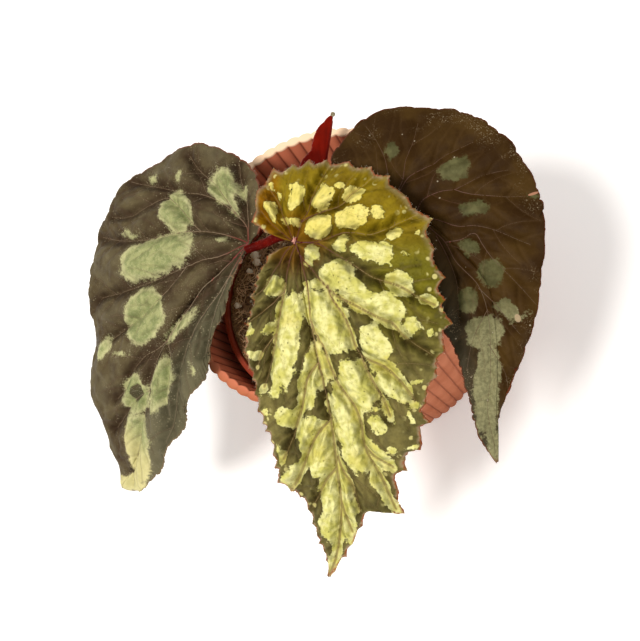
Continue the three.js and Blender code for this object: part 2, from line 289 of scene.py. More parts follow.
# A round vessel or plug from a profile of (radius, height) in mm, from the edge of its foot up the
# outside, over the rim and down the inside to the edge of its floor.
def turned(name, sides, profile, middle=(0, 0)):
    radius, height = profile[0]
    bpy.ops.mesh.primitive_circle_add(vertices=sides, radius=radius * mm, fill_type="NGON",
                                      location=(middle[0] * mm, middle[1] * mm, height * mm))
    bpy.ops.object.transform_apply(location=True, rotation=False, scale=False)
    piece = bpy.context.object
    piece.name = name
    bpy.ops.object.mode_set(mode="EDIT")
    bpy.ops.mesh.select_all(action="SELECT")
    for (radius, height), (nextRadius, nextHeight) in zip(profile, profile[1:]):
        bpy.ops.mesh.extrude_region_move(TRANSFORM_OT_translate={"value": (0, 0, (nextHeight - height) * mm)})
        share = nextRadius / radius
        bpy.ops.transform.resize(value=(share, share, 1),
                                 center_override=(middle[0] * mm, middle[1] * mm, nextHeight * mm))
    bpy.ops.mesh.select_all(action="SELECT")
    bpy.ops.mesh.normals_make_consistent(inside=False)
    bpy.ops.object.mode_set(mode="OBJECT")
    return piece


hair = {"lean": 0.35, "lengths": (0.6, 1.2), "sunk": 0.2, "corners": (0, 2.0944, 4.1888)}     # mm, radians


# Fine tapering three-sided hairs: `roots` are places in metres, `length` and `thickness` are in mm.
def hairs(name, roots, directions, length, thickness, seed):
    draw = random.Random(seed)
    places, faces = [], []
    for root, direction in zip(roots, directions):
        direction = Vector(direction).normalized()
        lean = Vector((draw.uniform(-1, 1), draw.uniform(-1, 1), draw.uniform(-1, 1))) * hair["lean"]
        tip = Vector(root) + (direction + lean).normalized() * length * draw.uniform(*hair["lengths"]) * mm
        side = direction.orthogonal().normalized() * thickness / 2 * mm
        start = len(places)
        for turn in hair["corners"]:
            places.append(Vector(root) + Quaternion(direction, turn) @ side - direction * hair["sunk"] * mm)
        places.append(tip)
        for sides in ((0, 1, 3), (1, 2, 3), (2, 0, 3), (2, 1, 0)):
            faces.append(tuple(start + corner for corner in sides))
    return meshPiece(name, places, faces)


# Sizes in mm, colours linear, here and for all that follows.
flutedPot = {
    "height": 110, "rimRadius": 70, "baseRadius": 54, "floor": 4,
    "ribs": 66, "facets": 12, "ribDepth": 1.0, "valleyWall": 2.4, "rounding": 0.45,
    "colour": (0.4, 0.115, 0.047), "pale": (0.5, 0.165, 0.078), "paintedGrooveShade": (0.16, 0.035, 0.016),
    "inner": (0.84, 0.25, 0.145), "grain": (0.7, 0.36, 0.23), "rim": (1, 0.74, 0.52),
    "rimBand": (108.5, 109.6), "backBand": (-50, 50),
}


# "crown" is 1 on a rib and 0 between two; "inside" is 1 on the inner wall.
def clayFinish():
    finish = Finish("salmonClay", Roughness=0.82, Specular_IOR_Level=0.2)
    grain = finish.noise(0.5, 4)
    cloud = finish.noise(22, 3)
    crown, inside = finish.attribute("crown"), finish.attribute("inside")
    top = finish.reached("Z", *flutedPot["rimBand"])
    # Painted shade: the clay darkens in the valleys between the ribs, and across each inner flute towards its
    # groove, less so at the rim top.
    paintedGrooveShade = crown.ease(0.5, 0.0) * (0.5 - top * 0.4) + crown.ease(0.9, 0.0) * inside * (0.25 - top * 0.2)
    # Painted sunlight: the top of the rim turns pale towards the back of the pot.
    sunned = top * (finish.reached("Y", *flutedPot["backBand"]) * 0.9 + 0.02)
    tone = finish.over(
        finish.blend(cloud.ease(0.35, 0.7), flutedPot["colour"], flutedPot["pale"]),
        # Painted light: the inner wall takes a lighter clay colour than the outside, for light falling into the
        # pot.
        (inside * 0.6, flutedPot["inner"]), (paintedGrooveShade, flutedPot["paintedGrooveShade"]),
        (grain.ease(0.62, 0.8) * 0.18, flutedPot["grain"]), (sunned, flutedPot["rim"]))
    pits = finish.cells(2.6).ease(0.12, 0.0) * 0.3
    return finish.feed(Base_Color=tone, Roughness=0.74 + 0.16 * grain,
                       Normal=finish.bump(grain * 0.5 - pits, 0.12, 0.5))


def makeFlutedPot():
    pot, keys = flutedPot, ("height", "rimRadius", "baseRadius", "floor", "rounding")
    height, rim, base, floor, edge = (pot[key] for key in keys)
    outer = lambda z: base + (rim - base) * z / height
    inner = lambda z: outer(z) - pot["ribDepth"] - pot["valleyWall"]
    profile = [(base - edge, 0), (base, edge)]
    profile += [(outer(z), z) for z in np.linspace(0, height - edge, 12)[1:]]
    profile += [(rim - 0.3 * edge, height - 0.3 * edge), (rim - edge, height), (inner(height) + edge, height),
                (inner(height) + 0.3 * edge, height - 0.3 * edge)]
    profile += [(inner(z), z) for z in np.linspace(height - edge, floor, 10)]
    piece = turned("flutedPot", pot["ribs"] * pot["facets"], profile)
    places = corners(piece)
    radius = np.hypot(places[:, 0], places[:, 1]) / mm
    turn = np.arctan2(places[:, 1], places[:, 0])
    share = (turn / (2 * math.pi) * pot["ribs"]) % 1
    crown = 1 - (2 * share - 1) ** 2
    z = places[:, 2] / mm
    outside = radius > outer(z) - pot["ribDepth"] - pot["valleyWall"] / 2
    shift = np.where(outside, -pot["ribDepth"] * (1 - crown), -pot["ribDepth"] * crown)
    places[:, :2] *= ((radius + shift) / np.maximum(radius, 1e-6))[:, None]
    setCorners(piece, places)
    keepValues(piece, "crown", crown)
    keepValues(piece, "inside", ~outside)
    smooth(piece, 40)
    return finished(piece, [clayFinish()], ["fluted_pot"])


nurseryPot = {
    "x": -1, "y": -10, "foot": 4.3, "height": 94, "rimRadius": 52, "baseRadius": 37,
    "wall": 1.2, "lipHeight": 7, "lipReach": 1.2, "floor": 1.5, "rounding": 0.35,
    "holes": 6, "holeRadius": 4, "holeRing": 24, "sides": 144,
    "colour": (0.27, 0.03, 0.008), "pale": (0.4, 0.08, 0.036),
}


# A place at a distance from the middle of the nursery pot, and how far a place is from it.
def aroundPot(turn, distance):
    return nurseryPot["x"] + distance * math.cos(turn), nurseryPot["y"] + distance * math.sin(turn)


def fromPot(x, y):
    return math.hypot(x - nurseryPot["x"], y - nurseryPot["y"])


def plasticFinish():
    finish = Finish("redBrownPlastic", Roughness=0.42, Specular_IOR_Level=0.35)
    dust = finish.noise(9, 5, 0.65)
    scuffs = finish.noise(1.4, 4)
    tone = finish.blend(dust.ease(0.45, 0.8) * 0.7, nurseryPot["colour"], nurseryPot["pale"])
    return finish.feed(Base_Color=tone, Roughness=0.36 + 0.3 * dust, Normal=finish.bump(scuffs, 0.05, 0.4))


def makeNurseryPot():
    pot = nurseryPot
    wallTop = pot["rimRadius"] - pot["lipReach"]
    wallAt = lambda rise: pot["baseRadius"] + (wallTop - pot["baseRadius"]) * rise / pot["height"]
    lip, top, edge = pot["height"] - pot["lipHeight"], pot["height"], pot["rounding"]
    profile = [(pot["baseRadius"] - 0.8, 0), (pot["baseRadius"], 0.8), (wallAt(lip), lip),
               (pot["rimRadius"] - edge, lip), (pot["rimRadius"], lip + edge),
               (pot["rimRadius"], top - edge),
               (pot["rimRadius"] - edge, top), (wallAt(top) - pot["wall"] + edge, top),
               (wallAt(top) - pot["wall"], top - edge), (wallAt(lip) - pot["wall"], lip),
               (wallAt(pot["floor"]) - pot["wall"], pot["floor"])]
    profile = [(radius, rise + pot["foot"]) for radius, rise in profile]
    piece = turned("nurseryPot", pot["sides"], profile, (pot["x"], pot["y"]))
    for hole in range(pot["holes"]):
        turn = 2 * math.pi * hole / pot["holes"]
        place = Vector((*aroundPot(turn, pot["holeRing"]), pot["foot"])) * mm
        bpy.ops.mesh.primitive_cylinder_add(vertices=32, radius=pot["holeRadius"] * mm, depth=10 * mm,
                                            location=place)
        drill = bpy.context.object
        applyModifier(piece, "BOOLEAN", object=drill, operation="DIFFERENCE")
        bpy.data.objects.remove(drill)
    smooth(piece, 35)
    return finished(piece, [plasticFinish()], ["nursery_pot"])


blade = {
    "thickness": 0.9, "clearOfPetiole": 0.4, "waves": 5, "rootCrowding": 1.6,
    "toothLean": 0.35, "smallTooth": 0.6, "toothWidths": (0.55, 1.45), "toothSizes": (0.45, 1.2), "fray": 0.14,
    "tipShare": 0.22, "tipTooth": 0.35, "veinWidth": 1.5, "sideVeinWidth": 1.0,
}

# Side veins: radians for angles, mm for steps.
sideVeins = {
    "angles": (0.75, 0.95), "bend": 0.03, "steps": 16, "step": 1.2, "wander": 0.12, "clear": 1.6,
    "firstGap": (0.7, 1.1), "gaps": (0.75, 1.25),
}

# How ragged and how square the spots are.
spotShape = {"warpSize": 6, "warp": 1.8, "power": 2.4}

# Each leaf as it would lie flat, in mm from its base: (along the leaf, to its left). It points along
# `heading`, is turned about that line by `roll`, falls by `slope` at the base and by `curl` more in each
# 100 mm, and its halves start at `fold` and droop by `droop` more in each 100 mm, all in degrees.
# A spot is (along, across, half length, half width, turn).
leaves = {
    "leaf_centre": {
        "base": (7, -7, 150), "heading": -96, "roll": 0, "slope": 10, "curl": 24, "fold": 0, "droop": 16,
        "midrib": [(0, 0), (38, 6), (62, 11), (90, 14), (120, 11), (153, 0)],
        "left": {
            "outline": [(-5, -15), (-15, -20), (-26, -18), (-33, -8), (-35, 8), (-30, 29), (-21, 43),
                        (-9, 53),
                        (4, 58), (21, 61), (37, 63), (55, 59), (70, 53), (86, 50), (95, 41), (103, 38),
                        (118, 37),
                        (117, 25), (133, 15), (153, 0)],
            "toothHeight": 2.6,
        },
        "right": {
            "outline": [(3, -9), (15, -18), (32, -22), (50, -24), (61, -21), (80, -17), (104, -12),
                        (113, -4),
                        (128, 0), (142, 1), (153, 0)],
            "toothHeight": 1.8,
        },
        "mainVeins": [
            [(0, -2), (-5, -8), (-10, -14), (-15, -18)],
            [(0, -2), (-7, -5), (-13, -8), (-18, -10), (-25, -15), (-29, -18)],
            [(0, -1), (-5, 0), (-9, 1), (-14, 4), (-19, 5), (-24, 7), (-30, 10), (-34, 13)],
            [(-9, 1), (-12, 7), (-14, 15), (-16, 20), (-20, 24), (-23, 28), (-27, 33)],
            [(0, -1), (0, 8), (-1, 13), (-3, 20), (-3, 26), (-2, 32), (-4, 39), (-7, 45), (-10, 52)],
            [(0, -1), (1, 9), (5, 16), (10, 24), (16, 33), (18, 38), (21, 46), (26, 54), (29, 60)],
            [(0, -1), (7, 2), (11, 6), (16, 10), (23, 17), (28, 26), (34, 37), (36, 42), (42, 47), (50, 58)],
            [(19, 14), (25, 16), (32, 21), (39, 24), (49, 28), (55, 39), (64, 47), (69, 50)],
            [(49, 28), (57, 31), (63, 34), (69, 37), (75, 39)],
            [(0, -1), (9, 2), (21, 5), (33, 6), (45, 8), (57, 10), (70, 12), (84, 13), (99, 13), (113, 13),
             (128, 10), (141, 6), (151, 1)],
            [(34, 6), (41, 9), (46, 12), (53, 14), (62, 18), (69, 23), (77, 26), (89, 27), (102, 32),
             (117, 37)],
            [(88, 27), (93, 31), (98, 38)],
            [(1, -1), (8, -4), (21, -6), (30, -8), (39, -10), (47, -12), (54, -14), (62, -17)],
            [(1, -3), (4, -6), (9, -9), (13, -12), (18, -15), (22, -20)],
            [(21, -6), (27, -13), (31, -19), (34, -23)],
            [(39, -10), (44, -15), (48, -18), (55, -21)],
            [(98, 13), (103, 8), (109, 4), (117, -1)],
            [(52, 9), (58, 4), (68, 1), (76, -2), (85, -6), (94, -11)],
            [(93, 14), (100, 16), (105, 19), (112, 20), (118, 21)],
            [(113, 13), (120, 14), (128, 16)],
            [(76, 13), (83, 6), (93, 0), (101, -4), (108, -9)],
        ],
        "teeth": 28, "quilt": 4.0, "wave": 1.2,
        "spots": [
            (-14, -12, 6, 2.7, 30), (-9, -3, 4, 2, 73), (-20, -1, 6, 4, -7), (-25, -13, 2, 1, 33),
            (-21, -10, 3, 1, 15), (-19, 11, 6, 5, -34), (-23, 19, 3, 2, 87), (-19, 25, 4, 4, -45),
            (-9, 25, 8, 5, -83), (-11, 36, 3, 3, -18), (-6, 10, 6, 5, -79), (2, 21, 4, 3, -9),
            (6, 34, 9, 5, 78), (-1, 43, 4, 3, -71), (7, 48, 2, 1, 88), (6, 7, 5, 4, -26),
            (19, 46, 5, 5, 68), (15, 19, 8, 6, 55), (22, 26, 8, 5, 45), (26, 33, 6, 4, 59),
            (30, 41, 7, 6, 68), (19, 8, 3, 2, 88), (18, -10, 4, 4, -65), (37, -13, 2, 1, -45),
            (38, -22, 2, 2, 89), (48, -22, 3, 2, 89), (31, 22, 2, 1, 88), (38, 50, 4, 3, -72),
            (12, 43, 1, 1, 88), (27, 58, 2, 1, 78), (-1, 53, 1, 1, 89), (44, 35, 8, 6, 28),
            (35, 15, 14, 7, 27), (42, -4, 20, 6, -10), (61, -10, 5, 2, -16), (59, 5, 12, 4, -13),
            (55, 12, 4, 2, 12), (62, 26, 11, 6, 22), (60, 41, 9, 5, 37), (61, 51, 2, 1, 88),
            (40, 58, 1, 1, 88), (88, 6, 13, 7, 8), (102, 9, 7, 3, -27), (116, 8, 16, 4, -12),
            (81, 21, 18, 6, 12), (114, 15, 20, 4, 0), (91, 31, 8, 4, 40), (78, 34, 4, 3, 36),
            (109, 33, 11, 2, 27), (75, -6, 5, 4, 90), (101, -7, 8, 3, -45), (143, 5, 11, 2, -23),
            (64, -17, 2, 1, 90), (73, -17, 2, 1, 91), (92, -12, 3, 1, 3), (71, 50, 2, 1, 88),
            (71, 34, 1, 1, 89), (73, 39, 3, 1, 26), (90, 39, 2, 2, 89), (75, 48, 2, 1, 5),
            (88, 47, 2, 1, 88), (98, 38, 2, 1, 23),
            (-1, -2, 1, 1, 87),
        ],
    },
    "leaf_left": {
        "base": (-26, 2, 135), "heading": -136, "roll": 0, "slope": 8, "curl": 26, "fold": 0, "droop": 18,
        "midrib": [(0, 0), (36, -7), (60, -9), (85, -5), (118, 1), (151, -4)],
        "left": {
            "outline": [(4, 3), (24, 9), (46, 16), (59, 20), (72, 19), (86, 22), (101, 19), (114, 19),
                        (126, 15),
                        (136, 12), (143, 7), (150, 0), (151, -4)],
            "toothHeight": 0.7,
        },
        "right": {
            "outline": [(-9, 2), (-25, -14), (-30, -29), (-28, -45), (-22, -61), (-12, -73), (4, -83),
                        (20, -91),
                        (36, -90), (50, -91), (66, -83), (79, -69), (91, -56), (107, -52), (119, -42),
                        (124, -30),
                        (137, -17), (143, -11), (149, -7), (151, -4)],
            "toothHeight": 1.3,
        },
        "mainVeins": [
            [(-3, 0), (-8, -6), (-9, -14), (-9, -22), (-8, -30), (-5, -40), (1, -52), (6, -65), (16, -88)],
            [(-3, 0), (-10, -7), (-17, -16), (-22, -26), (-28, -35)],
            [(-9, -14), (-11, -25), (-13, -37), (-13, -50), (-15, -62)],
            [(-3, 0), (-1, -7), (3, -17), (8, -26), (15, -36), (24, -46), (32, -55), (42, -70), (51, -88)],
            [(8, -26), (8, -34), (7, -46), (8, -58), (16, -65), (29, -73), (37, -85)],
            [(-3, 0), (10, -8), (17, -15), (25, -21), (33, -27), (40, -32), (49, -40), (61, -51), (73, -63)],
            [(25, -21), (39, -23), (49, -26), (59, -29), (69, -34), (83, -42)],
            [(-3, 0), (11, -2), (20, -4), (27, -6), (42, -7), (59, -9), (77, -8), (95, -4), (113, 0),
             (141, 2)],
            [(50, -8), (63, -10), (75, -17), (86, -20), (96, -20), (107, -24)],
            [(59, -9), (64, -2), (71, 2), (80, 5), (88, 12)],
            [(-3, 0), (12, 2), (25, 3), (38, 2), (51, 3), (63, 6), (75, 10), (88, 15), (101, 17)],
            [(12, 2), (21, 4), (31, 7), (42, 11), (50, 14)],
            [(86, -5), (96, -11), (107, -14), (121, -18)],
        ],
        "teeth": 30, "quilt": 4.4, "wave": 1.6,
        "spots": [
            (-15, -31, 10, 7, 76), (-12, -21, 7, 2, 75), (9, -45, 12, 8, 78), (32, -40, 24, 10, -41),
            (58, -27, 14, 12, -11), (48, -5, 11, 3, -18), (77, 1, 14, 6, 9), (94, -12, 9, 10, 75),
            (117, 2, 18, 10, 19), (140, 4, 13, 5, 134), (94, -5, 9, 3, 140), (90, -43, 7, 4, -22),
            (83, -30, 4, 1, 128),
            (35, -64, 4, 1, 122), (3, -11, 2, 1, 124), (-19, -19, 3, 2, 66), (-4, -57, 2, 2, 121),
            (6, -74, 3, 2, 120), (59, 14, 2, 1, 48),
            (89, -11, 5, 2, 129),
        ],
    },
    "leaf_right": {
        "base": (54.5, 6, 132), "heading": -80, "roll": 0, "slope": 12, "curl": 22, "fold": 0, "droop": 16,
        "midrib": [(0, 0), (16, 11), (39, 21), (66, 17), (87, 10), (114, 1)],
        "left": {
            "outline": [(-7, -13), (-20, -27), (-37, -32), (-47, -21), (-51, -5), (-48, 11), (-38, 31),
                        (-22, 44),
                        (-4, 51), (13, 52), (28, 49), (42, 43), (56, 37), (69, 28), (81, 18), (95, 8),
                        (105, 4),
                        (114, 1)],
            "toothHeight": 1.1,
        },
        "right": {
            "outline": [(5, -8), (18, -14), (34, -11), (52, -2), (67, 0), (84, -1), (99, -2), (108, -1),
                        (114, 1)],
            "toothHeight": 0.9,
        },
        "mainVeins": [
            [(0, 0), (-8, -8), (-16, -2), (-25, 2), (-32, 7), (-40, 11)],
            [(-8, -8), (-16, 0), (-18, 6), (-19, 13), (-21, 18), (-22, 24), (-23, 32)],
            [(0, 0), (-5, 5), (-6, 13), (-5, 19), (-6, 26), (-7, 33), (-6, 43)],
            [(-5, 19), (-2, 23), (1, 29), (5, 39), (7, 47)],
            [(0, 0), (3, 4), (6, 9), (11, 16), (13, 23), (17, 30), (22, 36), (28, 43)],
            [(0, 0), (5, 3), (9, 5), (16, 9), (25, 11), (31, 14), (37, 17), (45, 18), (55, 17), (66, 14),
             (78, 10),
             (90, 5), (103, 3), (113, 2)],
            [(16, 9), (17, 16), (16, 22), (22, 24), (28, 26), (36, 30), (44, 34), (53, 38)],
            [(12, 6), (21, 8), (31, 9), (39, 8), (49, 5)],
            [(-8, -8), (-17, -8), (-28, -7), (-39, -9), (-47, -12)],
            [(-8, -8), (-19, -14), (-27, -19), (-32, -26)],
            [(39, 17), (48, 22), (56, 25), (63, 28)],
            [(49, 18), (56, 11), (63, 6), (71, 2)],
            [(63, 14), (71, 16), (78, 17), (84, 16)],
        ],
        "teeth": 30, "quilt": 2.4, "wave": 1.4,
        "spots": [
            (-31, -3, 4, 3, 23), (-13, 21, 7, 5, -77), (6, 25, 6, 4, 72), (21, 18, 5, 3, 57),
            (35, 24, 6, 5, -17), (43, 11, 5, 4, -17), (51, 26, 5, 3, 37), (58, 14, 8, 7, 73),
            (80, 8, 22, 5, -20), (103, 3, 12, 3, -12),
            (56, 29, 4, 1, -87), (8, 50, 2, 1, 62),
        ],
    },
    "leaf_young": {
        "base": (5, 30, 119), "heading": 54, "roll": -60, "slope": -24, "curl": 0, "fold": -72, "droop": 0,
        "midrib": [(0, 0), (15, 0), (31, 0), (38, 0)],
        "left": {
            "outline": [(-3, 4), (3, 10), (12, 11), (19, 7.5), (27, 6.8), (33, 4.2), (38, 0)],
            "toothHeight": 0.8,
        },
        "right": {
            "outline": [(-3, -4), (3, -10), (12, -11), (19, -7.5), (27, -6.8), (33, -4.2), (38, 0)],
            "toothHeight": 0.8,
        },
        "mainVeins": [
            [(0, 0), (15, 0), (32, 0), (41, 0)],
            [(3, 0), (8, 4), (14, 8)], [(9, 0), (17, 4), (24, 6)], [(16, 0), (25, 2), (32, 3)],
            [(3, 0), (8, -4), (14, -8)], [(9, 0), (17, -4), (24, -6)], [(16, 0), (25, -2), (32, -3)],
        ],
        "teeth": 6, "quilt": 0.8, "wave": 0.4,
        "spots": [],
    },
}

# The outline of one tooth: (share of the tooth, height), with a small tooth before each large one.
toothShape = [(0, 0), (0.1, 0.2), (0.17, 0.12), (0.3, 0.45), (0.37, 0.34), (0.5, 0.72), (0.6, 0.86), (0.675, 1),
              (0.73, 0.66), (0.83, 0.4), (0.88, 0.2)]

# A rounded tooth that ends in a sharp notch.
scallopShape = [(0, 0), (0.06, 0.35), (0.16, 0.62), (0.3, 0.84), (0.45, 0.96), (0.6, 1), (0.675, 0.98),
                (0.8, 0.82), (0.9, 0.55), (0.96, 0.25)]

# The grid of each blade and its shape between the veins, in mm.
relief = {
    "leaf_centre": {
        "pointed": True, "rows": 60, "columns": 12, "teethRise": 1.6, "veinDepth": 1.2, "sideVeinDepth": 0.4,
        "spotRise": 0.5, "quiltReach": 4.2, "crumple": 0.8, "crumpleSize": 7, "spacing": 9,
        "veinRadius": (0.34, 0.09)},
    "leaf_left": {
        "pointed": False, "rows": 60, "columns": 10, "teethRise": 1.5, "veinDepth": 1.3, "sideVeinDepth": 0.35,
        "spotRise": 0.2, "quiltReach": 8, "crumple": 1.6, "crumpleSize": 12, "spacing": 11,
        "veinRadius": (0.34, 0.1)},
    "leaf_right": {
        "pointed": False, "rows": 50, "columns": 8, "teethRise": 1.0, "veinDepth": 0.6, "sideVeinDepth": 0.35,
        "spotRise": 0.15, "quiltReach": 7, "crumple": 0.5, "crumpleSize": 14, "spacing": 12,
        "veinRadius": (0.34, 0.1)},
    "leaf_young": {
        "pointed": False, "rows": 24, "columns": 14, "teethRise": 1.0, "veinDepth": 0.3, "sideVeinDepth": 0.1,
        "spotRise": 0, "quiltReach": 4, "crumple": 0.3, "crumpleSize": 6, "spacing": 6,
        "veinRadius": (0.25, 0.1)},
}


# The distance covered and the fall along an arc whose slope starts at `start` and grows by `rate` per mm.
def arc(length, start, rate):
    if abs(rate) < 1e-9:
        return length * math.cos(start), length * math.sin(start)
    return ((np.sin(start + rate * length) - math.sin(start)) / rate,
            (math.cos(start) - np.cos(start + rate * length)) / rate)


# Points of the leaf's smooth surface at flat places, and the upward normals there.
def carrier(leaf, flat):
    along, across = np.asarray(flat, dtype=float).T
    heading = math.radians(leaf["heading"])
    forward = np.array((math.cos(heading), math.sin(heading), 0))
    leftward = np.array(Quaternion(Vector(forward), math.radians(leaf["roll"]))
                        @ Vector((-math.sin(heading), math.cos(heading), 0)))
    up = np.cross(forward, leftward)
    rate = math.radians(leaf["curl"]) / 100
    slope = math.radians(leaf["slope"]) + rate * along
    reach, fall = arc(along, math.radians(leaf["slope"]), rate)
    aside, sag = arc(np.abs(across), math.radians(leaf["fold"]), math.radians(leaf["droop"]) / 100)
    lift = np.sin(slope)[:, None] * forward + np.cos(slope)[:, None] * up
    places = (np.array(leaf["base"]) + reach[:, None] * forward - fall[:, None] * up
              + (np.sign(across) * aside)[:, None] * leftward - sag[:, None] * lift)
    tilt = np.sign(across) * (math.radians(leaf["fold"]) + math.radians(leaf["droop"]) / 100 * np.abs(across))
    normals = lift * np.cos(tilt)[:, None] + np.sin(tilt)[:, None] * leftward
    return places, normals


# The curve between two points that leaves and reaches them at the speeds given.
def cubic(start, stop, startSpeed, stopSpeed, share):
    return ((2 * start - 2 * stop + startSpeed + stopSpeed) * share ** 3
            + (-3 * start + 3 * stop - 2 * startSpeed - stopSpeed) * share ** 2 + startSpeed * share + start)


# A smooth curve through points, read at shares of its length, with its direction there.
def through(points, shares):
    points = np.array(points, dtype=float)
    last = len(points) - 1

    def at(t):
        spot = np.clip(t, 0, 1) * last
        start = np.minimum(spot.astype(int), last - 1)
        weight = (spot - start)[:, None]
        before, after = np.maximum(start - 1, 0), np.minimum(start + 2, last)
        p0, p1, p2, p3 = points[before], points[start], points[start + 1], points[after]
        return cubic(p1, p2, (p2 - p0) / 2, (p3 - p1) / 2, weight)

    steps = np.linspace(0, 1, 201)
    lengths = np.concatenate([[0], np.cumsum(np.linalg.norm(np.diff(at(steps), axis=0), axis=1))])
    t = np.interp(np.asarray(shares) * lengths[-1], lengths, steps)
    direction = at(t + 0.0005) - at(t - 0.0005)
    return at(t), direction / np.maximum(np.linalg.norm(direction, axis=1), 1e-12)[:, None]


# How far each flat place is from the nearest of the lines, in mm.
def distanceTo(flat, lines):
    best = np.full(len(flat), 40.0)
    for line in lines:
        for start, end in zip(line[:-1], line[1:]):
            run = end - start
            share = np.clip(((flat - start) @ run) / max(run @ run, 1e-9), 0, 1)
            best = np.minimum(best, np.linalg.norm(flat - start - share[:, None] * run, axis=1))
    return best


# Which flat places lie inside an outline.
def within(outline, flat):
    inside = np.zeros(len(flat), dtype=bool)
    for (x1, y1), (x2, y2) in zip(outline, np.roll(outline, -1, axis=0)):
        crosses = (y1 > flat[:, 1]) != (y2 > flat[:, 1])
        rise = y2 - y1 if y2 != y1 else 1e-9
        inside ^= crosses & (flat[:, 0] < x1 + (flat[:, 1] - y1) * (x2 - x1) / rise)
    return inside


# Main veins as fine lines, and side veins that leave them by turns and stop short of the next vein.
def veinLines(leaf, name):
    draw = random.Random(name)
    mains = [through(line, np.linspace(0, 1, 3 * len(line)))[0] for line in leaf["mainVeins"]]
    outline = np.array(leaf["left"]["outline"] + leaf["right"]["outline"][::-1], dtype=float)
    sides = []
    for index, line in enumerate(leaf["mainVeins"]):
        others = [other for count, other in enumerate(mains) if count != index]
        length = np.sum(np.linalg.norm(np.diff(mains[index], axis=0), axis=1))
        for turn in (1, -1):
            step = leaf["spacing"] * draw.uniform(*sideVeins["firstGap"])
            while step < length - 3:
                foot, ahead = through(line, [step / length])
                angle = math.atan2(ahead[0, 1], ahead[0, 0]) + turn * draw.uniform(*sideVeins["angles"])
                path = [foot[0]]
                for count in range(sideVeins["steps"]):
                    angle -= turn * sideVeins["bend"]
                    path.append(path[-1] + sideVeins["step"] * np.array((math.cos(angle), math.sin(angle)))
                                + draw.uniform(-sideVeins["wander"], sideVeins["wander"]))
                path = np.array(path)
                stop = (distanceTo(path, others) < sideVeins["clear"]) | ~within(outline, path)
                stop[:4] = False
                path = path[:int(np.argmax(stop))] if stop.any() else path
                if len(path) > 4:
                    sides.append(path)
                step += leaf["spacing"] * draw.uniform(*sideVeins["gaps"])
    return mains, sides


# How far each flat place is outside the nearest spot, in mm; less than 0 within it.
def spotDistance(leaf, flat):
    size, power = spotShape["warpSize"], spotShape["power"]
    warp = np.array([[noise.noise(Vector((x / size, y / size, layer))) for layer in (1, 5)] for x, y in flat])
    flat = flat + spotShape["warp"] * warp
    best = np.full(len(flat), 20.0)
    for along, across, length, width, turn in leaf["spots"]:
        turn = math.radians(turn)
        offset = flat - (along, across)
        lengthwise = offset[:, 0] * math.cos(turn) + offset[:, 1] * math.sin(turn)
        crosswise = offset[:, 1] * math.cos(turn) - offset[:, 0] * math.sin(turn)
        share = (np.abs(lengthwise / length) ** power + np.abs(crosswise / width) ** power) ** (1 / power)
        best = np.minimum(best, (share - 1) * min(length, width))
    return best


# Shares of the way along a half's outline, and how far its teeth stand out there.
def toothedEdge(draw, leaf, half):
    peak = (1 + blade["toothLean"]) / 2
    toothShares, toothHeights = np.array((toothShape if leaf["pointed"] else scallopShape) + [(1, 0)]).T
    steps = np.unique(np.concatenate([np.linspace(0, 1, leaf["columns"] + 1), [peak]]))[:-1]
    shares, heights = [], []
    widths = np.array([draw.uniform(*blade["toothWidths"]) for tooth in range(leaf["teeth"])])
    starts = np.concatenate([[0], np.cumsum(widths)]) / widths.sum()
    for tooth in range(leaf["teeth"]):
        size = (1 if tooth % 2 == 0 else blade["smallTooth"]) * draw.uniform(*blade["toothSizes"])
        size *= leaf["teethRise"]
        shares.append(starts[tooth] + steps * (starts[tooth + 1] - starts[tooth]))
        frayed = np.array([draw.uniform(-blade["fray"], blade["fray"]) for step in steps]) * leaf["teethRise"]
        heights.append(np.interp(steps, toothShares, toothHeights) * size * half["toothHeight"] + frayed)
    shares, heights = np.append(np.concatenate(shares), 1), np.append(np.concatenate(heights), 0)
    return shares, heights * np.clip((1 - shares) / blade["tipShare"], blade["tipTooth"], 1)


# How far each flat place of a blade stands off the leaf's smooth surface: `reach` is 0 at the midrib and 1 at
# the margin, `spans` is the distance between them and `share` the way along the outline.
def liftOf(leaf, flat, reach, spans, share, toVein, toSideVein, spot):
    margin = (1 - reach) * spans
    envelope = np.clip(np.sin(math.pi * reach ** 0.8), 0, 1) ** 0.6 * np.clip(spans / 30, 0.3, 1)
    fade = np.clip(margin / 5, 0, 1)
    lift = leaf["quilt"] * (1 - np.exp(-toVein / leaf["quiltReach"])) * envelope
    lift += leaf["wave"] * np.sin(2 * math.pi * blade["waves"] * share) * reach ** 3
    lift -= leaf["veinDepth"] * np.exp(-(toVein / blade["veinWidth"]) ** 2) * fade
    lift -= leaf["sideVeinDepth"] * np.exp(-(toSideVein / blade["sideVeinWidth"]) ** 2) * fade
    lift += leaf["spotRise"] * np.clip(-spot / 1.2, 0, 1) * fade
    size = leaf["crumpleSize"]
    crumple = np.array([noise.fractal(Vector((x / size, y / size, 3)), 1, 2, 3) for x, y in flat])
    return lift + leaf["crumple"] * crumple * np.clip(margin / 3, 0.25, 1) * (1 - np.exp(-(toVein / 2) ** 2))


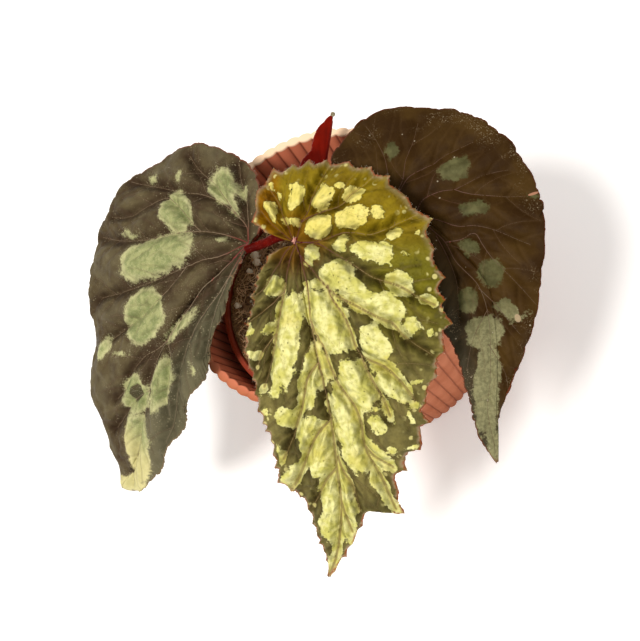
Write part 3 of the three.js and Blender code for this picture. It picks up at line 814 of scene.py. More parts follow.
# One half of a blade as a grid: columns follow the outline, rows run from the midrib out to the margin.
def halfBlade(name, leaf, half, side, mains, sides):
    shares, heights = toothedEdge(random.Random(name + str(side)), leaf, half)
    rim, ahead = through(half["outline"], shares)
    teeth = side * np.stack([-ahead[:, 1], ahead[:, 0]], axis=1) * heights[:, None]
    root = through(leaf["midrib"], ((shares + 0.01) / 1.01) ** blade["rootCrowding"])[0]
    rows, columns = leaf["rows"], len(shares)
    reach = np.repeat(np.linspace(0, 1, rows) ** 0.9, columns)
    spans = np.tile(np.linalg.norm(rim - root, axis=1), rows)
    flat = np.tile(root, (rows, 1)) * (1 - reach[:, None]) + np.tile(rim, (rows, 1)) * reach[:, None]
    flat += np.tile(teeth, (rows, 1)) * reach[:, None] ** 6
    bpy.ops.mesh.primitive_grid_add(x_subdivisions=columns - 1, y_subdivisions=rows - 1, size=1)
    piece = bpy.context.object
    toVein, toSideVein, spot = distanceTo(flat, mains), distanceTo(flat, sides), spotDistance(leaf, flat)
    middle, normals = carrier(leaf, flat)
    lift = liftOf(leaf, flat, reach, spans, np.tile(shares, rows), toVein, toSideVein, spot)
    setCorners(piece, (middle + normals * lift[:, None]) * mm)
    kept = {"vein": toVein, "sideVein": toSideVein, "spot": spot, "margin": (1 - reach) * spans,
            "along": flat[:, 0], "across": flat[:, 1]}
    for key, values in kept.items():
        keepValues(piece, key, values)
    return piece


# Both halves joined, turned face up and given their thickness downwards.
def makeBlade(node, leaf, mains, sides):
    halves = [halfBlade(node, leaf, leaf["left"], 1, mains, sides),
              halfBlade(node, leaf, leaf["right"], -1, mains, sides)]
    piece = cleaned(joined(halves, node.replace("leaf_", "blade_")))
    middle, normals = carrier(leaf, [(20, 3)])
    face = min(piece.data.polygons, key=lambda one: (one.center / mm - Vector(middle[0])).length)
    if face.normal.dot(Vector(normals[0])) < 0:
        only(piece)
        bpy.ops.object.mode_set(mode="EDIT")
        bpy.ops.mesh.select_all(action="SELECT")
        bpy.ops.mesh.flip_normals()
        bpy.ops.object.mode_set(mode="OBJECT")
    applyModifier(piece, "SOLIDIFY", thickness=blade["thickness"] * mm, offset=-1, material_offset=1,
                  material_offset_rim=0)
    return smooth(piece)


# The place on a blade's upper or lower face at each flat point, and the outward normal; None off the blade.
def onBlade(piece, leaf, flat, above):
    found = []
    for place, normal in zip(*carrier(leaf, flat)):
        normal = Vector(normal) if above else -Vector(normal)
        start = Vector(place) * mm + normal * 12 * mm
        hit, spot, facing, face = piece.ray_cast(start, -normal, distance=30 * mm)
        found.append((spot, facing) if hit else None)
    return found


# Round strands through points in metres, each with its own radii, as one mesh.
def strands(name, lines, sides=6):
    curve = bpy.data.curves.new(name, "CURVE")
    curve.dimensions = "3D"
    curve.bevel_depth = mm
    curve.bevel_resolution = max(0, sides // 2 - 2)
    curve.use_fill_caps = True
    for points, radii in lines:
        spline = curve.splines.new("POLY")
        spline.points.add(len(points) - 1)
        for spot, point, radius in zip(spline.points, points, radii):
            spot.co = (*point, 1)
            spot.radius = radius
    piece = bpy.data.objects.new(name, curve)
    bpy.context.collection.objects.link(piece)
    only(piece)
    bpy.ops.object.convert(target="MESH")
    piece = bpy.context.object
    piece.name = name
    return smooth(piece)


# The veins stand a little proud of the blade, and more so below it, where all the side veins show.
def veinStrands(name, piece, leaf, mains, sides, above):
    lines = []
    big, small = leaf["veinRadius"]
    size = math.dist(leaf["midrib"][0], leaf["midrib"][-1])
    grow, sink, every = (1, 0.45, 3) if above else (1.5, -0.5, 1)
    for line, share in [(line, 1) for line in mains] + [(line, 0.3) for line in sides[::every]]:
        length = np.sum(np.linalg.norm(np.diff(line, axis=0), axis=1))
        flat = through(line, np.linspace(0, 1, max(4, int(length / 1.1))))[0]
        run = []
        for index, found in enumerate(onBlade(piece, leaf, flat, above)):
            if found:
                away = np.linalg.norm(flat[index]) / size
                taper = 1 - 0.75 * index / len(flat)
                radius = max(small, (big * max(0.25, 1 - 0.8 * away)) * taper) * share * grow
                run.append((found[0] - found[1] * radius * sink * mm, radius))
            elif len(run) < 4:
                run = []
            else:
                break
        if len(run) > 3:
            lines.append(([point for point, radius in run], [radius for point, radius in run]))
    return strands(name, lines)


# Where the spots and the veins are. `grown` is how far the spots reach past their own edge.
def leafMarks(finish, grown=0, feather=0.25, grit=1.8):
    ragged, fine = finish.noise(3.2, 3, 0.6), finish.noise(1.0, 3, 0.6)
    edge = finish.attribute("spot") + (ragged - 0.5) * 3.4 + (fine - 0.5) * grit - grown
    return edge.ease(feather, -feather), finish.attribute("vein"), finish.attribute("sideVein")


# 1 near a flat place of the leaf and 0 away from it.
def near(finish, along, across, length, width):
    first = (finish.attribute("along") - along) / length
    second = (finish.attribute("across") - across) / width
    ragged = finish.noise(2.2, 3) * 1.2 - 0.6
    return (first * first + second * second + ragged).ease(1.15, 0.8)


def centreLeafFinish():
    finish = Finish("oliveLeaf", Roughness=0.5, Specular_IOR_Level=0.09)
    along, across, margin = (finish.attribute(name) for name in ("along", "across", "margin"))
    reached = finish.attribute("vein").ease(3.2, 0.6) * 1.4 + 0.5
    spot, vein, sideVein = leafMarks(finish, along.ease(4, 26) * reached - 0.15)
    cloud, fine, broad = finish.noise(11, 4, 0.6), finish.noise(0.8, 3), finish.noise(5, 2)
    clouded = lambda dark, light: finish.blend(cloud.ease(0.3, 0.7), dark, light)
    green = clouded((0.09, 0.08, 0.004), (0.18, 0.158, 0.01))
    olive = clouded((0.145, 0.095, 0.002), (0.265, 0.19, 0.007))
    # Painted light: the basal lobe on the blade's right half glows amber, as light shining through it.
    backlitLobeGlow = clouded((0.19, 0.08, 0.0), (0.36, 0.175, 0.001))
    outward = along.ease(-8, 18) * 0.75 + 0.25
    ground = finish.over(
        clouded((0.082, 0.07, 0.02), (0.2, 0.17, 0.052)),
        (across.ease(24, 42) * along.ease(62, 20), green),
        (along.ease(12, -6), olive),
        (across.ease(-7, -14) * along.ease(4, -8), backlitLobeGlow),
        ((along * along + across * across).ease(320, 10) * 0.55, (0.25, 0.09, 0.003)),
        (margin.ease(3.4, 0.8) * along.ease(14, -2) * 0.55, (0.22, 0.18, 0.09)),
        (broad.ease(0.5, 0.72) * along.ease(-8, 18) * 0.45, (0.06, 0.05, 0.018)),
        # Painted shade: the ground darkens beside the main and side veins, in the creases of the blade, less so
        # near the base.
        (vein.ease(2.6, 0.2) * outward * 0.6, (0.06, 0.036, 0.01)),
        (sideVein.ease(1.2, 0.2) * outward * 0.4, (0.06, 0.04, 0.012)))
    pits = finish.cells(3.0).ease(0.15, 0.05) * finish.noise(9, 2).ease(0.44, 0.58)
    mottle = finish.noise(1.6, 4, 0.65).ease(0.5, 0.68)
    pale = finish.over(
        finish.blend(broad.ease(0.35, 0.65), (0.56, 0.54, 0.14), (0.78, 0.76, 0.34)),
        (along.ease(8, -8) * 0.7, (0.78, 0.66, 0.16)),
        # Painted shade: the dimples of the pebbled spots are darker.
        (pits * 0.7, (0.2, 0.18, 0.03)),
        (mottle * 0.4, (0.44, 0.44, 0.08)),
        (cloud.ease(0.5, 0.7) * 0.4, (0.66, 0.57, 0.12)),
        (vein.ease(1.3, 0.3) * 0.6, (0.55, 0.45, 0.13)))
    flecks = finish.cells(4.2).ease(0.32, 0.2) * margin.ease(9, 3) * finish.noise(5, 2).ease(0.42, 0.52)
    tips = margin.ease(2.2, 0.4) * finish.noise(3, 2).ease(0.42, 0.58)
    edge = margin.ease(1.1, 0.25) * finish.noise(2, 2).ease(0.34, 0.56)
    tone = finish.over(
        ground,
        (spot * (1 - vein.ease(0.8, 0.3) * 0.6), pale),
        (flecks * 0.85, (0.62, 0.57, 0.22)),
        (tips * 0.7, (0.38, 0.27, 0.17)),
        (edge * 0.85, (0.27, 0.06, 0.018)),
        (near(finish, -1, -1.5, 1.5, 1.1), (0.7, 0.34, 0.28)))
    puffs = finish.cells(2.8, "SMOOTH_F1").ease(0.9, 0.1)
    swell = vein.ease(0, 4.5) * 4.2 + sideVein.ease(0, 1.8) * 0.9
    height = swell + puffs * (0.3 + 0.8 * spot) + fine * 0.25 - pits * 0.8 - mottle * 0.3 + spot * 0.4
    return finish.feed(Base_Color=tone, Roughness=0.45 + 0.2 * fine, Normal=finish.bump(height, 0.7, 0.95))


def leftLeafFinish():
    finish = Finish("greyBrownLeaf", Roughness=0.6, Specular_IOR_Level=0.13)
    spot, vein, sideVein = leafMarks(finish, feather=0.9, grit=4)
    past, margin, along, across = (finish.attribute(name) for name in ("spot", "margin", "along", "across"))
    cloud, fine = finish.noise(13, 4, 0.62), finish.noise(0.55, 3)
    narrow = (across + finish.noise(10, 2) * 4).ease(0, 7)
    paintedLightRidges = vein.ease(3, 10) * finish.noise(16, 2).ease(0.4, 0.6)
    down = fine.ease(0.52, 0.72) * finish.noise(6, 3).ease(0.4, 0.65)
    # Painted shade: the ground darkens in the valleys along the main and side veins; painted light: patches on
    # the raised parts away from the veins turn paler.
    ground = finish.over(
        finish.blend(cloud.ease(0.3, 0.7), (0.045, 0.028, 0.012), (0.105, 0.082, 0.038)),
        (vein.ease(5, 0.4) * 0.6, (0.035, 0.016, 0.008)),
        (sideVein.ease(2.2, 0.2) * 0.2, (0.035, 0.018, 0.008)),
        (narrow * 0.7, (0.105, 0.1, 0.058)),
        (paintedLightRidges * 0.35, (0.17, 0.15, 0.085)),
        (down * 0.4, (0.26, 0.215, 0.12)))
    rimLight = (past + (finish.noise(1.2, 3) - 0.5) * 4).ease(-2.8, -0.4)
    pale = finish.over(
        finish.blend(finish.noise(4, 3).ease(0.35, 0.65), (0.2, 0.23, 0.09), (0.33, 0.35, 0.15)),
        (rimLight * 0.55, (0.58, 0.56, 0.3)),
        (fine.ease(0.52, 0.72) * 0.3, (0.62, 0.62, 0.38)),
        (along.ease(104, 122) * 0.6, (0.72, 0.64, 0.3)),
        (near(finish, 92, -11, 5, 3.4), (0.07, 0.06, 0.028)))
    whiteSpecks = finish.noise(0.5, 2).ease(0.6, 0.68) * (past - 0.6).ease(2.6, 0.2)
    glints = finish.cells(1.5).ease(0.24, 0.12) * finish.noise(7, 3).ease(0.46, 0.6) * vein.ease(9, 2)
    tone = finish.over(
        ground,
        (spot, pale),
        (whiteSpecks * finish.noise(4, 2).ease(0.4, 0.55) * 0.7, (0.5, 0.47, 0.3)),
        (glints * 0.6, (0.46, 0.41, 0.25)),
        (sideVein.ease(0.9, 0.2) * 0.2, (0.07, 0.035, 0.02)),
        (margin.ease(0.9, 0.2) * 0.6, (0.24, 0.16, 0.085)),
        (margin.ease(1.2, 0.3) * along.ease(15, 3) * 0.6, (0.22, 0.03, 0.02)))
    swell = vein.ease(0, 5) * 3 + sideVein.ease(0, 2.4) * 0.6
    height = swell + fine * 0.4 + finish.cells(3.4, "SMOOTH_F1").ease(0.8, 0.1) * 0.4
    return finish.feed(Base_Color=tone, Roughness=0.55 + 0.2 * cloud, Normal=finish.bump(height, 0.6, 0.9))


def rightLeafFinish():
    finish = Finish("darkBrownLeaf", Roughness=0.42, Specular_IOR_Level=0.07)
    spot, vein, sideVein = leafMarks(finish, feather=0.6, grit=3)
    margin, along, across = (finish.attribute(name) for name in ("margin", "along", "across"))
    cloud = finish.noise(17, 4, 0.6)
    net = finish.cells(5, "DISTANCE_TO_EDGE").ease(0.05, 0.0)
    granular = finish.noise(0.6, 2).ease(0.56, 0.7) * margin.ease(16, 5) * finish.noise(12, 3).ease(0.48, 0.6)
    ground = finish.over(
        finish.blend(cloud.ease(0.35, 0.7), (0.027, 0.011, 0.001), (0.055, 0.028, 0.005)),
        # Painted shade: the half towards the centre leaf turns greyer from 8 to 45 mm along, as the centre
        # leaf's shadow.
        (across.ease(16, -2) * along.ease(8, 45) * 0.8, (0.046, 0.042, 0.026)),
        (net * 0.08, (0.09, 0.05, 0.018)),
        (granular * 0.6, (0.3, 0.24, 0.15)))
    pale = finish.blend(finish.noise(5, 3).ease(0.3, 0.7), (0.055, 0.055, 0.02), (0.13, 0.13, 0.055))
    mottle = finish.noise(1.4, 4, 0.65).ease(0.4, 0.62)
    lowPale = finish.blend(mottle, (0.19, 0.185, 0.095), (0.28, 0.27, 0.14))
    pale = finish.blend(along.ease(40, 62), pale, lowPale)
    tone = finish.over(
        ground,
        (spot * 0.85, pale),
        (sideVein.ease(0.9, 0.2) * 0.08, (0.13, 0.075, 0.03)),
        (finish.cells(7).ease(0.07, 0.03) * 0.8, (0.4, 0.35, 0.26)),
        (near(finish, 56, 29, 1.8, 1.2) * 0.8, (0.4, 0.3, 0.19)),
        (near(finish, 7, 50.5, 0.6, 2.4) * 0.8, (0.42, 0.2, 0.13)),
        (margin.ease(0.9, 0.2) * 0.6, (0.15, 0.03, 0.012)))
    swell = vein.ease(0, 5) * 1.4 + sideVein.ease(0, 2) * 0.5
    height = swell + finish.noise(1.2, 4) * 0.3 + finish.cells(4, "SMOOTH_F1").ease(0.8, 0.1) * 0.2
    return finish.feed(Base_Color=tone, Roughness=0.5 + 0.2 * cloud, Normal=finish.bump(height, 0.35, 0.6))


def youngLeafFinish():
    finish = Finish("youngRedLeaf", Roughness=0.5, Specular_IOR_Level=0.08)
    streaks = finish.noise(9, 2)
    shade = streaks.ease(0.3, 0.7) * 0.5 + finish.attribute("along").ease(8, 30) * 0.5
    tone = finish.blend(shade, (0.07, 0.001, 0.0), (0.22, 0.006, 0.0))
    return finish.feed(Base_Color=tone, Normal=finish.bump(streaks, 0.2, 0.3))


def undersideFinish():
    finish = Finish("redUnderside", Roughness=0.55, Specular_IOR_Level=0.25)
    net = finish.cells(3.2, "DISTANCE_TO_EDGE").ease(0.08, 0.0)
    tone = finish.over(
        finish.blend(finish.noise(12, 3).ease(0.3, 0.7), (0.13, 0.025, 0.015), (0.2, 0.07, 0.03)),
        (finish.attribute("spot").ease(1, -1) * 0.5, (0.26, 0.17, 0.07)),
        (net * 0.5, (0.3, 0.06, 0.04)))
    return finish.feed(Base_Color=tone, Normal=finish.bump(net, 0.4, 0.8))


# Veins are red where they leave the stalk and fade to the colour they have out on the blade.
def veinFinish(name, base, reach, red, faded):
    finish = Finish(name, Roughness=0.5, Specular_IOR_Level=0.4)
    sockets = {0: finish.place(), 1: Vector(base) * mm}
    away = finish.node("VectorMath", {"operation": "DISTANCE"}, sockets, "Value") / mm
    tone = finish.blend(away.ease(reach * 0.15, reach), red, faded)
    tone = finish.blend(finish.noise(2, 2).ease(0.4, 0.65) * 0.3, tone, (0.1, 0.03, 0.01))
    return finish.feed(Base_Color=tone)


# How far from the stalk the red reaches, the red and the faded colour.
veinColours = {
    "leaf_centre": (42, (0.075, 0.008, 0.005), (0.3, 0.21, 0.08)),
    "leaf_left": (17, (0.17, 0.007, 0.008), (0.2, 0.15, 0.09)),
    "leaf_right": (50, (0.07, 0.02, 0.008), (0.09, 0.055, 0.026)),
    "ribs": (60, (0.2, 0.01, 0.01), (0.3, 0.1, 0.06)),
}


def makeLeaves():
    under, made = undersideFinish(), {}
    tops = {"leaf_centre": centreLeafFinish(), "leaf_left": leftLeafFinish(), "leaf_right": rightLeafFinish(),
            "leaf_young": youngLeafFinish()}
    for node in leaves:
        leaf = leaves[node] | relief[node]
        mains, sides = veinLines(leaf, node)
        piece = makeBlade(node, leaf, mains, sides)
        finished(piece, [tops[node], under], [node])
        name = node.replace("leaf_", "")
        made[node] = (piece, leaf)
        if name == "young":
            continue
        for part, above in (("veins", True), ("ribs", False)):
            colour = veinFinish(name + part.title(), leaf["base"], *veinColours[node if above else "ribs"])
            finished(veinStrands(part + "_" + name, piece, leaf, mains, sides, above), [colour], [node])
        print("made", piece.name, len(piece.data.polygons), "faces,", len(sides), "side veins")
    return made


bud = {"along": 38.4, "radius": 1.15}


def makeBud():
    place = carrier(leaves["leaf_young"], [(bud["along"], 0)])[0][0]
    bpy.ops.mesh.primitive_uv_sphere_add(segments=20, ring_count=12, radius=bud["radius"] * mm,
                                         location=Vector(place) * mm)
    bpy.ops.object.transform_apply()
    piece = bpy.context.object
    piece.name = "budTip"
    finish = Finish("greyBud", Roughness=0.6, Specular_IOR_Level=0.2)
    tone = finish.blend(finish.noise(1.2, 3).ease(0.35, 0.65), (0.12, 0.09, 0.05), (0.42, 0.38, 0.25))
    return finished(smooth(piece), [finish.feed(Base_Color=tone)], ["leaf_young"])


# Hairs stand about the edges of the spots, on a few other points, and along the margin.
leafHair = {"aboutSpots": 1.2, "elsewhere": 0.04, "fromMargin": 0.05, "lean": 0.6, "rise": 0.3}


def nearSpots(spot, margin):
    strays = np.random.RandomState(3).rand(len(spot)) < leafHair["elsewhere"]
    return ((np.abs(spot) < leafHair["aboutSpots"]) & (margin > 1)) | strays


def atMargin(spot, margin):
    return margin < leafHair["fromMargin"]


# The leaf, how many, how long and thick, at which points of the blade they may stand, and the seed.
leafHairs = {
    "hairs_left": ("leaf_left", 1500, 0.9, 0.1, nearSpots, 31),
    "cilia_centre": ("leaf_centre", 500, 1.1, 0.09, atMargin, 32),
    "cilia_left": ("leaf_left", 500, 0.9, 0.09, atMargin, 33),
    "cilia_right": ("leaf_right", 350, 0.7, 0.08, atMargin, 34),
}


def makeLeafHairs(blades):
    for name, (node, count, length, thickness, allows, seed) in leafHairs.items():
        draw, (piece, leaf), values = random.Random(seed), blades[node], {}
        for key in ("spot", "margin"):
            values[key] = np.empty(len(piece.data.vertices), dtype=np.float32)
            piece.data.attributes[key].data.foreach_get("value", values[key])
        allowed = list(np.flatnonzero(allows(**values)))
        chosen = [piece.data.vertices[int(index)] for index in draw.sample(allowed, min(count, len(allowed)))]
        roots = [corner.co.copy() for corner in chosen]
        up = Vector(carrier(leaf, [(40, 0)])[1][0])
        ways = []
        for corner in chosen:
            lean = Vector((draw.uniform(-1, 1), draw.uniform(-1, 1), draw.uniform(-0.5, 0.5)))
            ways.append(corner.normal + leafHair["lean"] * lean + leafHair["rise"] * up)
        finished(hairs(name, roots, ways, length, thickness, seed), [hairFinish()], [node])
    print("made the hairs of the leaves")


def hairFinish(name="paleHair", colour=(0.62, 0.56, 0.42, 1)):
    finish = Finish(name, Base_Color=colour, Roughness=0.5, Specular_IOR_Level=0.4)
    return finish.material


# Each stalk's own points, and how its upper end meets the leaf: square to it or along it.
petioles = {
    "petiole_centre": {"leaf": "leaf_centre", "meets": "underside", "radii": (2.9, 2.2), "rise": 9,
                       "points": [(2, -7, 94), (0, -5, 112), (4, -6, 131)]},
    "petiole_left": {"leaf": "leaf_left", "meets": "along", "radii": (2.8, 2.1), "rise": 9,
                     "points": [(11, -5, 94), (13, 2, 110), (9, 5, 127), (-6, 4, 136)]},
    "petiole_right": {"leaf": "leaf_right", "meets": "underside", "radii": (2.8, 2.1), "rise": 8,
                      "points": [(17, -9, 92), (27, -8, 106), (43, 0, 117)]},
    "petiole_young": {"leaf": "leaf_young", "meets": "along", "radii": (2.1, 1.6), "rise": 5,
                      "points": [(-8, -7, 94), (-8, 4, 102), (-1, 18, 110)]},
}

# What all the stalks share.
stalks = {"points": 70, "sides": 24, "sink": 0.45, "hairs": 420, "hairLength": 1.0, "hairThickness": 0.08}


# A curve that passes its points without overshooting, read at equal steps of its length.
def stalkCurve(points, count):
    before, after = 2 * np.array(points[0]) - points[1], 2 * np.array(points[-1]) - points[-2]
    points = np.array([before] + list(points) + [after], dtype=float)
    fine = []
    for index in range(1, len(points) - 2):
        p0, p1, p2, p3 = points[index - 1:index + 3]
        d0, d1, d2 = (max(np.linalg.norm(b - a), 1e-6) ** 0.5 for a, b in ((p0, p1), (p1, p2), (p2, p3)))
        t1 = ((p1 - p0) / d0 - (p2 - p0) / (d0 + d1) + (p2 - p1) / d1) * d1
        t2 = ((p2 - p1) / d1 - (p3 - p1) / (d1 + d2) + (p3 - p2) / d2) * d1
        fine.append(cubic(p1, p2, t1, t2, np.linspace(0, 1, 40)[:, None]))
    fine = np.concatenate(fine)
    lengths = np.concatenate([[0], np.cumsum(np.linalg.norm(np.diff(fine, axis=0), axis=1))])
    steps = np.linspace(0, lengths[-1], count)
    return np.stack([np.interp(steps, lengths, fine[:, axis]) for axis in range(3)], axis=1)


# The stalk's middle line, from the rhizome to just inside the blade.
def stalkPoints(stalk, count):
    places, normals = carrier(leaves[stalk["leaf"]], [(0, 0)])
    point, normal = places[0], normals[0]
    depth = blade["thickness"] + blade["clearOfPetiole"]
    points = [np.array(one, dtype=float) for one in stalk["points"]]
    if stalk["meets"] == "underside":
        ends = [point - normal * (depth + stalk["rise"]), point - normal * (depth - stalks["sink"])]
        return stalkCurve(points + ends, count)
    end = point - normal * (depth + stalk["radii"][1] - stalks["sink"])
    approach = points[-1] - end
    approach -= normal * (approach @ normal)
    approach /= np.linalg.norm(approach)
    return stalkCurve(points + [end + approach * stalk["rise"], end], count)


def stalkFinish():
    finish = Finish("darkRedStalk", Roughness=0.45, Specular_IOR_Level=0.05)
    cloud = finish.noise(6, 3)
    tone = finish.blend(cloud.ease(0.3, 0.7), (0.06, 0.001, 0.0005), (0.15, 0.004, 0.001))
    flecks = finish.cells(2.2).ease(0.25, 0.12)
    tone = finish.blend(flecks * 0.15, tone, (0.34, 0.08, 0.05))
    return finish.feed(Base_Color=tone, Normal=finish.bump(finish.noise(0.8, 3), 0.2, 0.6))


def makeStalks():
    colour, draw = stalkFinish(), random.Random(21)
    for node, stalk in petioles.items():
        points = stalkPoints(stalk, stalks["points"])
        steps = np.linspace(0, 1, len(points))
        first, last = stalk["radii"]
        radii = (first + (last - first) * steps) * (0.97 + 0.05 * np.sin(steps * 37) * (1 - steps))
        line = [Vector(point) * mm for point in points]
        piece = strands(node.replace("petiole_", "stalk_"), [(line, radii)], stalks["sides"])
        finished(piece, [colour], [node])
        roots, ways = [], []
        for count in range(stalks["hairs"]):
            index = draw.randrange(4, len(points) - 3)
            ahead = Vector(points[index + 1] - points[index]).normalized()
            way = Quaternion(ahead, draw.uniform(0, 2 * math.pi)) @ ahead.orthogonal().normalized()
            roots.append((Vector(points[index]) + way * radii[index]) * mm)
            ways.append(way + 0.3 * ahead)
        name = node.replace("petiole_", "fuzz_")
        fuzz = hairs(name, roots, ways, stalks["hairLength"], stalks["hairThickness"], 5)
        finished(fuzz, [hairFinish("redFuzz", (0.42, 0.15, 0.11, 1))], [node])
    print("made the leaf stalks")


rhizome = {
    "points": [(-16, -9, 90), (1, -5, 92), (17, -8, 90)], "steps": 60, "sides": 28, "radius": 6.5,
    "swelling": 0.9, "swellings": 6, "scales": 16, "scaleRadius": 2.2, "scaleLengths": (5, 8),
    "scaleFlatness": 0.3,
}


def rhizomeFinish():
    finish = Finish("barkyRhizome", Roughness=0.75, Specular_IOR_Level=0.3)
    cloud = finish.noise(3.5, 4)
    tone = finish.blend(cloud.ease(0.3, 0.7), (0.07, 0.03, 0.014), (0.24, 0.13, 0.06))
    return finish.feed(Base_Color=tone, Normal=finish.bump(cloud + finish.noise(0.8, 3) * 0.4, 0.8, 0.8))


def makeRhizome():
    draw = random.Random(4)
    points, steps = stalkCurve(rhizome["points"], rhizome["steps"]), np.linspace(0, 1, rhizome["steps"])
    rounding = np.sqrt(np.maximum(0, 1 - np.abs(2 * steps - 1) ** 6))
    swelling = rhizome["swelling"] * np.cos(2 * math.pi * rhizome["swellings"] * steps)
    radii = np.maximum(0.6, (rhizome["radius"] + swelling) * rounding)
    parts = [strands("rhizome", [([Vector(point) * mm for point in points], radii)], rhizome["sides"])]
    for count in range(rhizome["scales"]):
        index = draw.randrange(5, rhizome["steps"] - 6)
        ahead = Vector(points[index + 1] - points[index]).normalized()
        way = Quaternion(ahead, draw.uniform(0, 2 * math.pi)) @ ahead.orthogonal().normalized()
        if way.z < -0.2:
            continue
        place = Vector(points[index]) + way * (radii[index] - 0.3)
        bpy.ops.mesh.primitive_cone_add(vertices=10, radius1=rhizome["scaleRadius"] * mm, radius2=0.1 * mm,
                                        depth=draw.uniform(*rhizome["scaleLengths"]) * mm)
        scale = bpy.context.object
        scale.scale = (1, rhizome["scaleFlatness"], 1)
        lean = (way + ahead * draw.choice((-1.4, 1.4))).normalized()
        scale.rotation_euler = lean.to_track_quat("Z", "Y").to_euler()
        scale.location = (place + lean * 1.5) * mm
        bpy.ops.object.transform_apply()
        parts.append(scale)
    piece = joined(parts, "rhizomeWithScales")
    smooth(piece, 50)
    finished(piece, [rhizomeFinish()], ["rhizome"])


# The mix is heaped by `heap` towards the wall of its pot, and stays clear of it by `gap`.
mix = {
    "foot": 6.1, "top": 88.3, "relief": 1.2, "heap": 8.4, "gap": 0.3, "sides": 160, "rings": 32,
    "crumbs": 420, "crumbSizes": (0.6, 2.2), "perlite": 36, "perliteSizes": (0.6, 1.7),
    "chips": 90, "chipSizes": (0.8, 2.0), "chipShape": (1.8, 1, 0.5),
    "roots": 640, "rootRadii": (0.13, 0.24), "rootSteps": (10, 26), "rootStep": 1.1,
    "bigPerlite": [(-37, 15, 2.6), (-36, 11, 2.4), (-40, 7, 1.6), (-46, -10, 1.8)],
}


# The mix's radius and its height at a place, without its lumps.
def wallInside(height):
    pot = nurseryPot
    taper = pot["rimRadius"] - pot["lipReach"] - pot["baseRadius"]
    return pot["baseRadius"] + taper * (height - pot["foot"]) / pot["height"] - pot["wall"] - mix["gap"]


def mixSurface(x, y):
    share = min(1, max(0, (fromPot(x, y) / wallInside(mix["top"]) - 0.3) / 0.5))
    return mix["top"] + 0.6 + mix["heap"] * share * share * (3 - 2 * share)


# Copies of one modelled lump, merged as one mesh. Each copy is (place in metres, turn, scale on each axis).
def copies(name, lump, uses):
    shape, grains, allFaces = corners(lump), [], []
    faces = [tuple(face.vertices) for face in lump.data.polygons]
    for place, turn, size in uses:
        start = len(grains) * len(shape)
        grains.append(shape * np.array(size) @ np.array(turn.to_matrix()).T + np.array(place))
        allFaces += [tuple(index + start for index in face) for face in faces]
    bpy.data.objects.remove(lump)
    return meshPiece(name, np.concatenate(grains), allFaces)


# A rough ball with a radius of about 1 mm.
def lump(subdivisions, roughness, seed):
    bpy.ops.mesh.primitive_ico_sphere_add(subdivisions=subdivisions, radius=mm)
    piece = bpy.context.object
    places = corners(piece)
    for index, place in enumerate(places):
        places[index] *= 1 + roughness * noise.noise(Vector(place) * 1100 + Vector((seed, 0, 0)))
    setCorners(piece, places)
    return piece


# Places, turns and sizes for `copies`, on a ring of the mix's surface.
def scattered(draw, count, inner, outer, low, high, sizes):
    uses = []
    for one in range(count):
        turn, distance = draw.uniform(0, 2 * math.pi), math.sqrt(draw.uniform(inner ** 2, outer ** 2))
        x, y = aroundPot(turn, distance)
        place = Vector((x, y, mixSurface(x, y) + draw.uniform(low, high))) * mm
        size = draw.uniform(*sizes)
        spin = Quaternion([draw.uniform(-1, 1) for part in range(4)]).normalized()
        uses.append((place, spin, (size, size * draw.uniform(0.7, 1.1), size * draw.uniform(0.6, 1))))
    return uses


def soilFinish():
    finish = Finish("darkPottingMix", Roughness=0.95, Specular_IOR_Level=0.15)
    grain, cloud = finish.noise(1.3, 5, 0.7), finish.noise(5, 3)
    tone = finish.blend(grain.ease(0.35, 0.7), (0.13, 0.06, 0.026), (0.5, 0.3, 0.14))
    tone = finish.blend(cloud.ease(0.5, 0.75) * 0.5, tone, (0.5, 0.32, 0.17))
    return finish.feed(Base_Color=tone, Normal=finish.bump(grain, 1.2, 0.9))


def mixPiece(piece, finish):
    finished(piece, [finish], ["potting_mix"])


def makeMixBody(soil, radius):
    top = mix["top"]
    profile = [(wallInside(mix["foot"]), mix["foot"]), (radius - 0.2, top - 0.3)]
    profile += [(radius * share, top) for share in np.linspace(0.995, 0.02, mix["rings"])]
    piece = turned("pottingMix", mix["sides"], profile, (nurseryPot["x"], nurseryPot["y"]))
    places = corners(piece) / mm
    for index, (x, y, z) in enumerate(places):
        if z > top - 0.2:
            rough = noise.fractal(Vector((x / 7, y / 7, 0)), 1, 2, 4)
            height = mixSurface(x, y) + max(-1, min(1, mix["relief"] * rough))
            share = wallInside(height) / radius
            places[index] = (nurseryPot["x"] + (x - nurseryPot["x"]) * share,
                             nurseryPot["y"] + (y - nurseryPot["y"]) * share, height)
    setCorners(piece, places * mm)
    mixPiece(smooth(piece), soil)


def makePerlite(draw, radius):
    uses = scattered(draw, mix["perlite"], 14, radius - 3, 0.4, 1.2, mix["perliteSizes"])
    for x, y, size in mix["bigPerlite"]:
        place = Vector((x, y, mixSurface(x, y) + 1)) * mm
        uses.append((place, Quaternion((1, 0.3, 0.2, 0)), (size, size * 0.8, size)))
    cream = Finish("creamPerlite", Roughness=0.85)
    tone = cream.blend(cream.noise(0.9, 4).ease(0.35, 0.65), (0.95, 0.8, 0.6), (1, 0.93, 0.78))
    cream.feed(Base_Color=tone, Normal=cream.bump(cream.noise(0.5, 3), 0.3))
    mixPiece(smooth(copies("perlite", lump(3, 0.45, 9), uses)), cream.material)


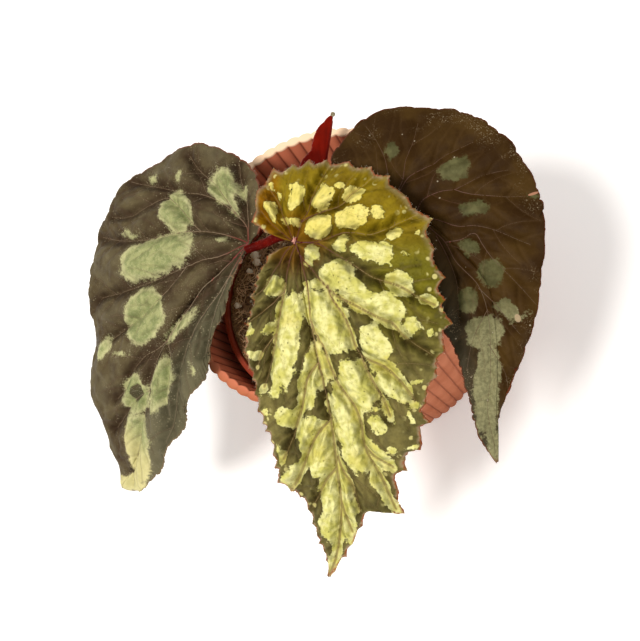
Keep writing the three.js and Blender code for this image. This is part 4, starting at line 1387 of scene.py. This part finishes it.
# Each root wanders over the surface in short steps and arches a little.
def makeRoots(draw, radius):
    lines = []
    for count in range(mix["roots"]):
        turn, distance = draw.uniform(0, 2 * math.pi), radius * draw.uniform(0.3, 0.96) ** 0.7
        x, y = aroundPot(turn, distance)
        heading, line, length = draw.uniform(0, 2 * math.pi), [], draw.randrange(*mix["rootSteps"])
        for step in range(length):
            heading += draw.uniform(-0.7, 0.7)
            x, y = x + mix["rootStep"] * math.cos(heading), y + mix["rootStep"] * math.sin(heading)
            if fromPot(x, y) > radius - 1.5:
                break
            rise = 0.2 + 1.8 * math.sin(math.pi * step / length) * draw.uniform(0.7, 1)
            line.append(Vector((x, y, mixSurface(x, y) + rise)) * mm)
        if len(line) > 5:
            lines.append((line, [draw.uniform(*mix["rootRadii"])] * len(line)))
    fibre = Finish("rootFibre", Roughness=0.7)
    tone = fibre.blend(fibre.noise(8, 2).ease(0.35, 0.65), (0.36, 0.19, 0.085), (0.9, 0.62, 0.36))
    mixPiece(strands("fineRoots", lines, 4), fibre.feed(Base_Color=tone))


def makeChips(draw, radius):
    long, wide, thick = mix["chipShape"]
    uses = [(place, turn, (size[0] * long, size[1] * wide, size[2] * thick)) for place, turn, size in
            scattered(draw, mix["chips"], 6, radius - 3, 0, 1, mix["chipSizes"])]
    bark = Finish("barkChip", Roughness=0.8)
    tone = bark.blend(bark.noise(1.5, 3).ease(0.3, 0.7), (0.06, 0.024, 0.01), (0.2, 0.09, 0.04))
    mixPiece(copies("barkChips", lump(1, 0.3, 5), uses), bark.feed(Base_Color=tone))


def makeMix():
    draw, soil, radius = random.Random(11), soilFinish(), wallInside(mix["top"])
    makeMixBody(soil, radius)
    crumbs = scattered(draw, mix["crumbs"], 2, radius - 1, -0.4, 1, mix["crumbSizes"])
    mixPiece(smooth(copies("mixCrumbs", lump(2, 0.5, 3), crumbs), 40), soil)
    makePerlite(draw, radius)
    makeRoots(draw, radius)
    makeChips(draw, radius)
    print("made the potting mix")


def makeFloor():
    bpy.ops.mesh.primitive_plane_add(size=view["floorSize"])
    floor = bpy.context.object
    floor.name = "floor"
    paint = Finish("paleFloor", Base_Color=view["floorColour"], Roughness=0.8,
                   Emission_Color=(1, 1, 1, 1), Emission_Strength=view["floorGlow"])
    floor.data.materials.append(paint.material)


setCamera()
setLight()
makeFloor()
makeFlutedPot()
makeNurseryPot()
print("made the pots")
blades = makeLeaves()
makeBud()
makeLeafHairs(blades)
makeStalks()
makeRhizome()
makeMix()
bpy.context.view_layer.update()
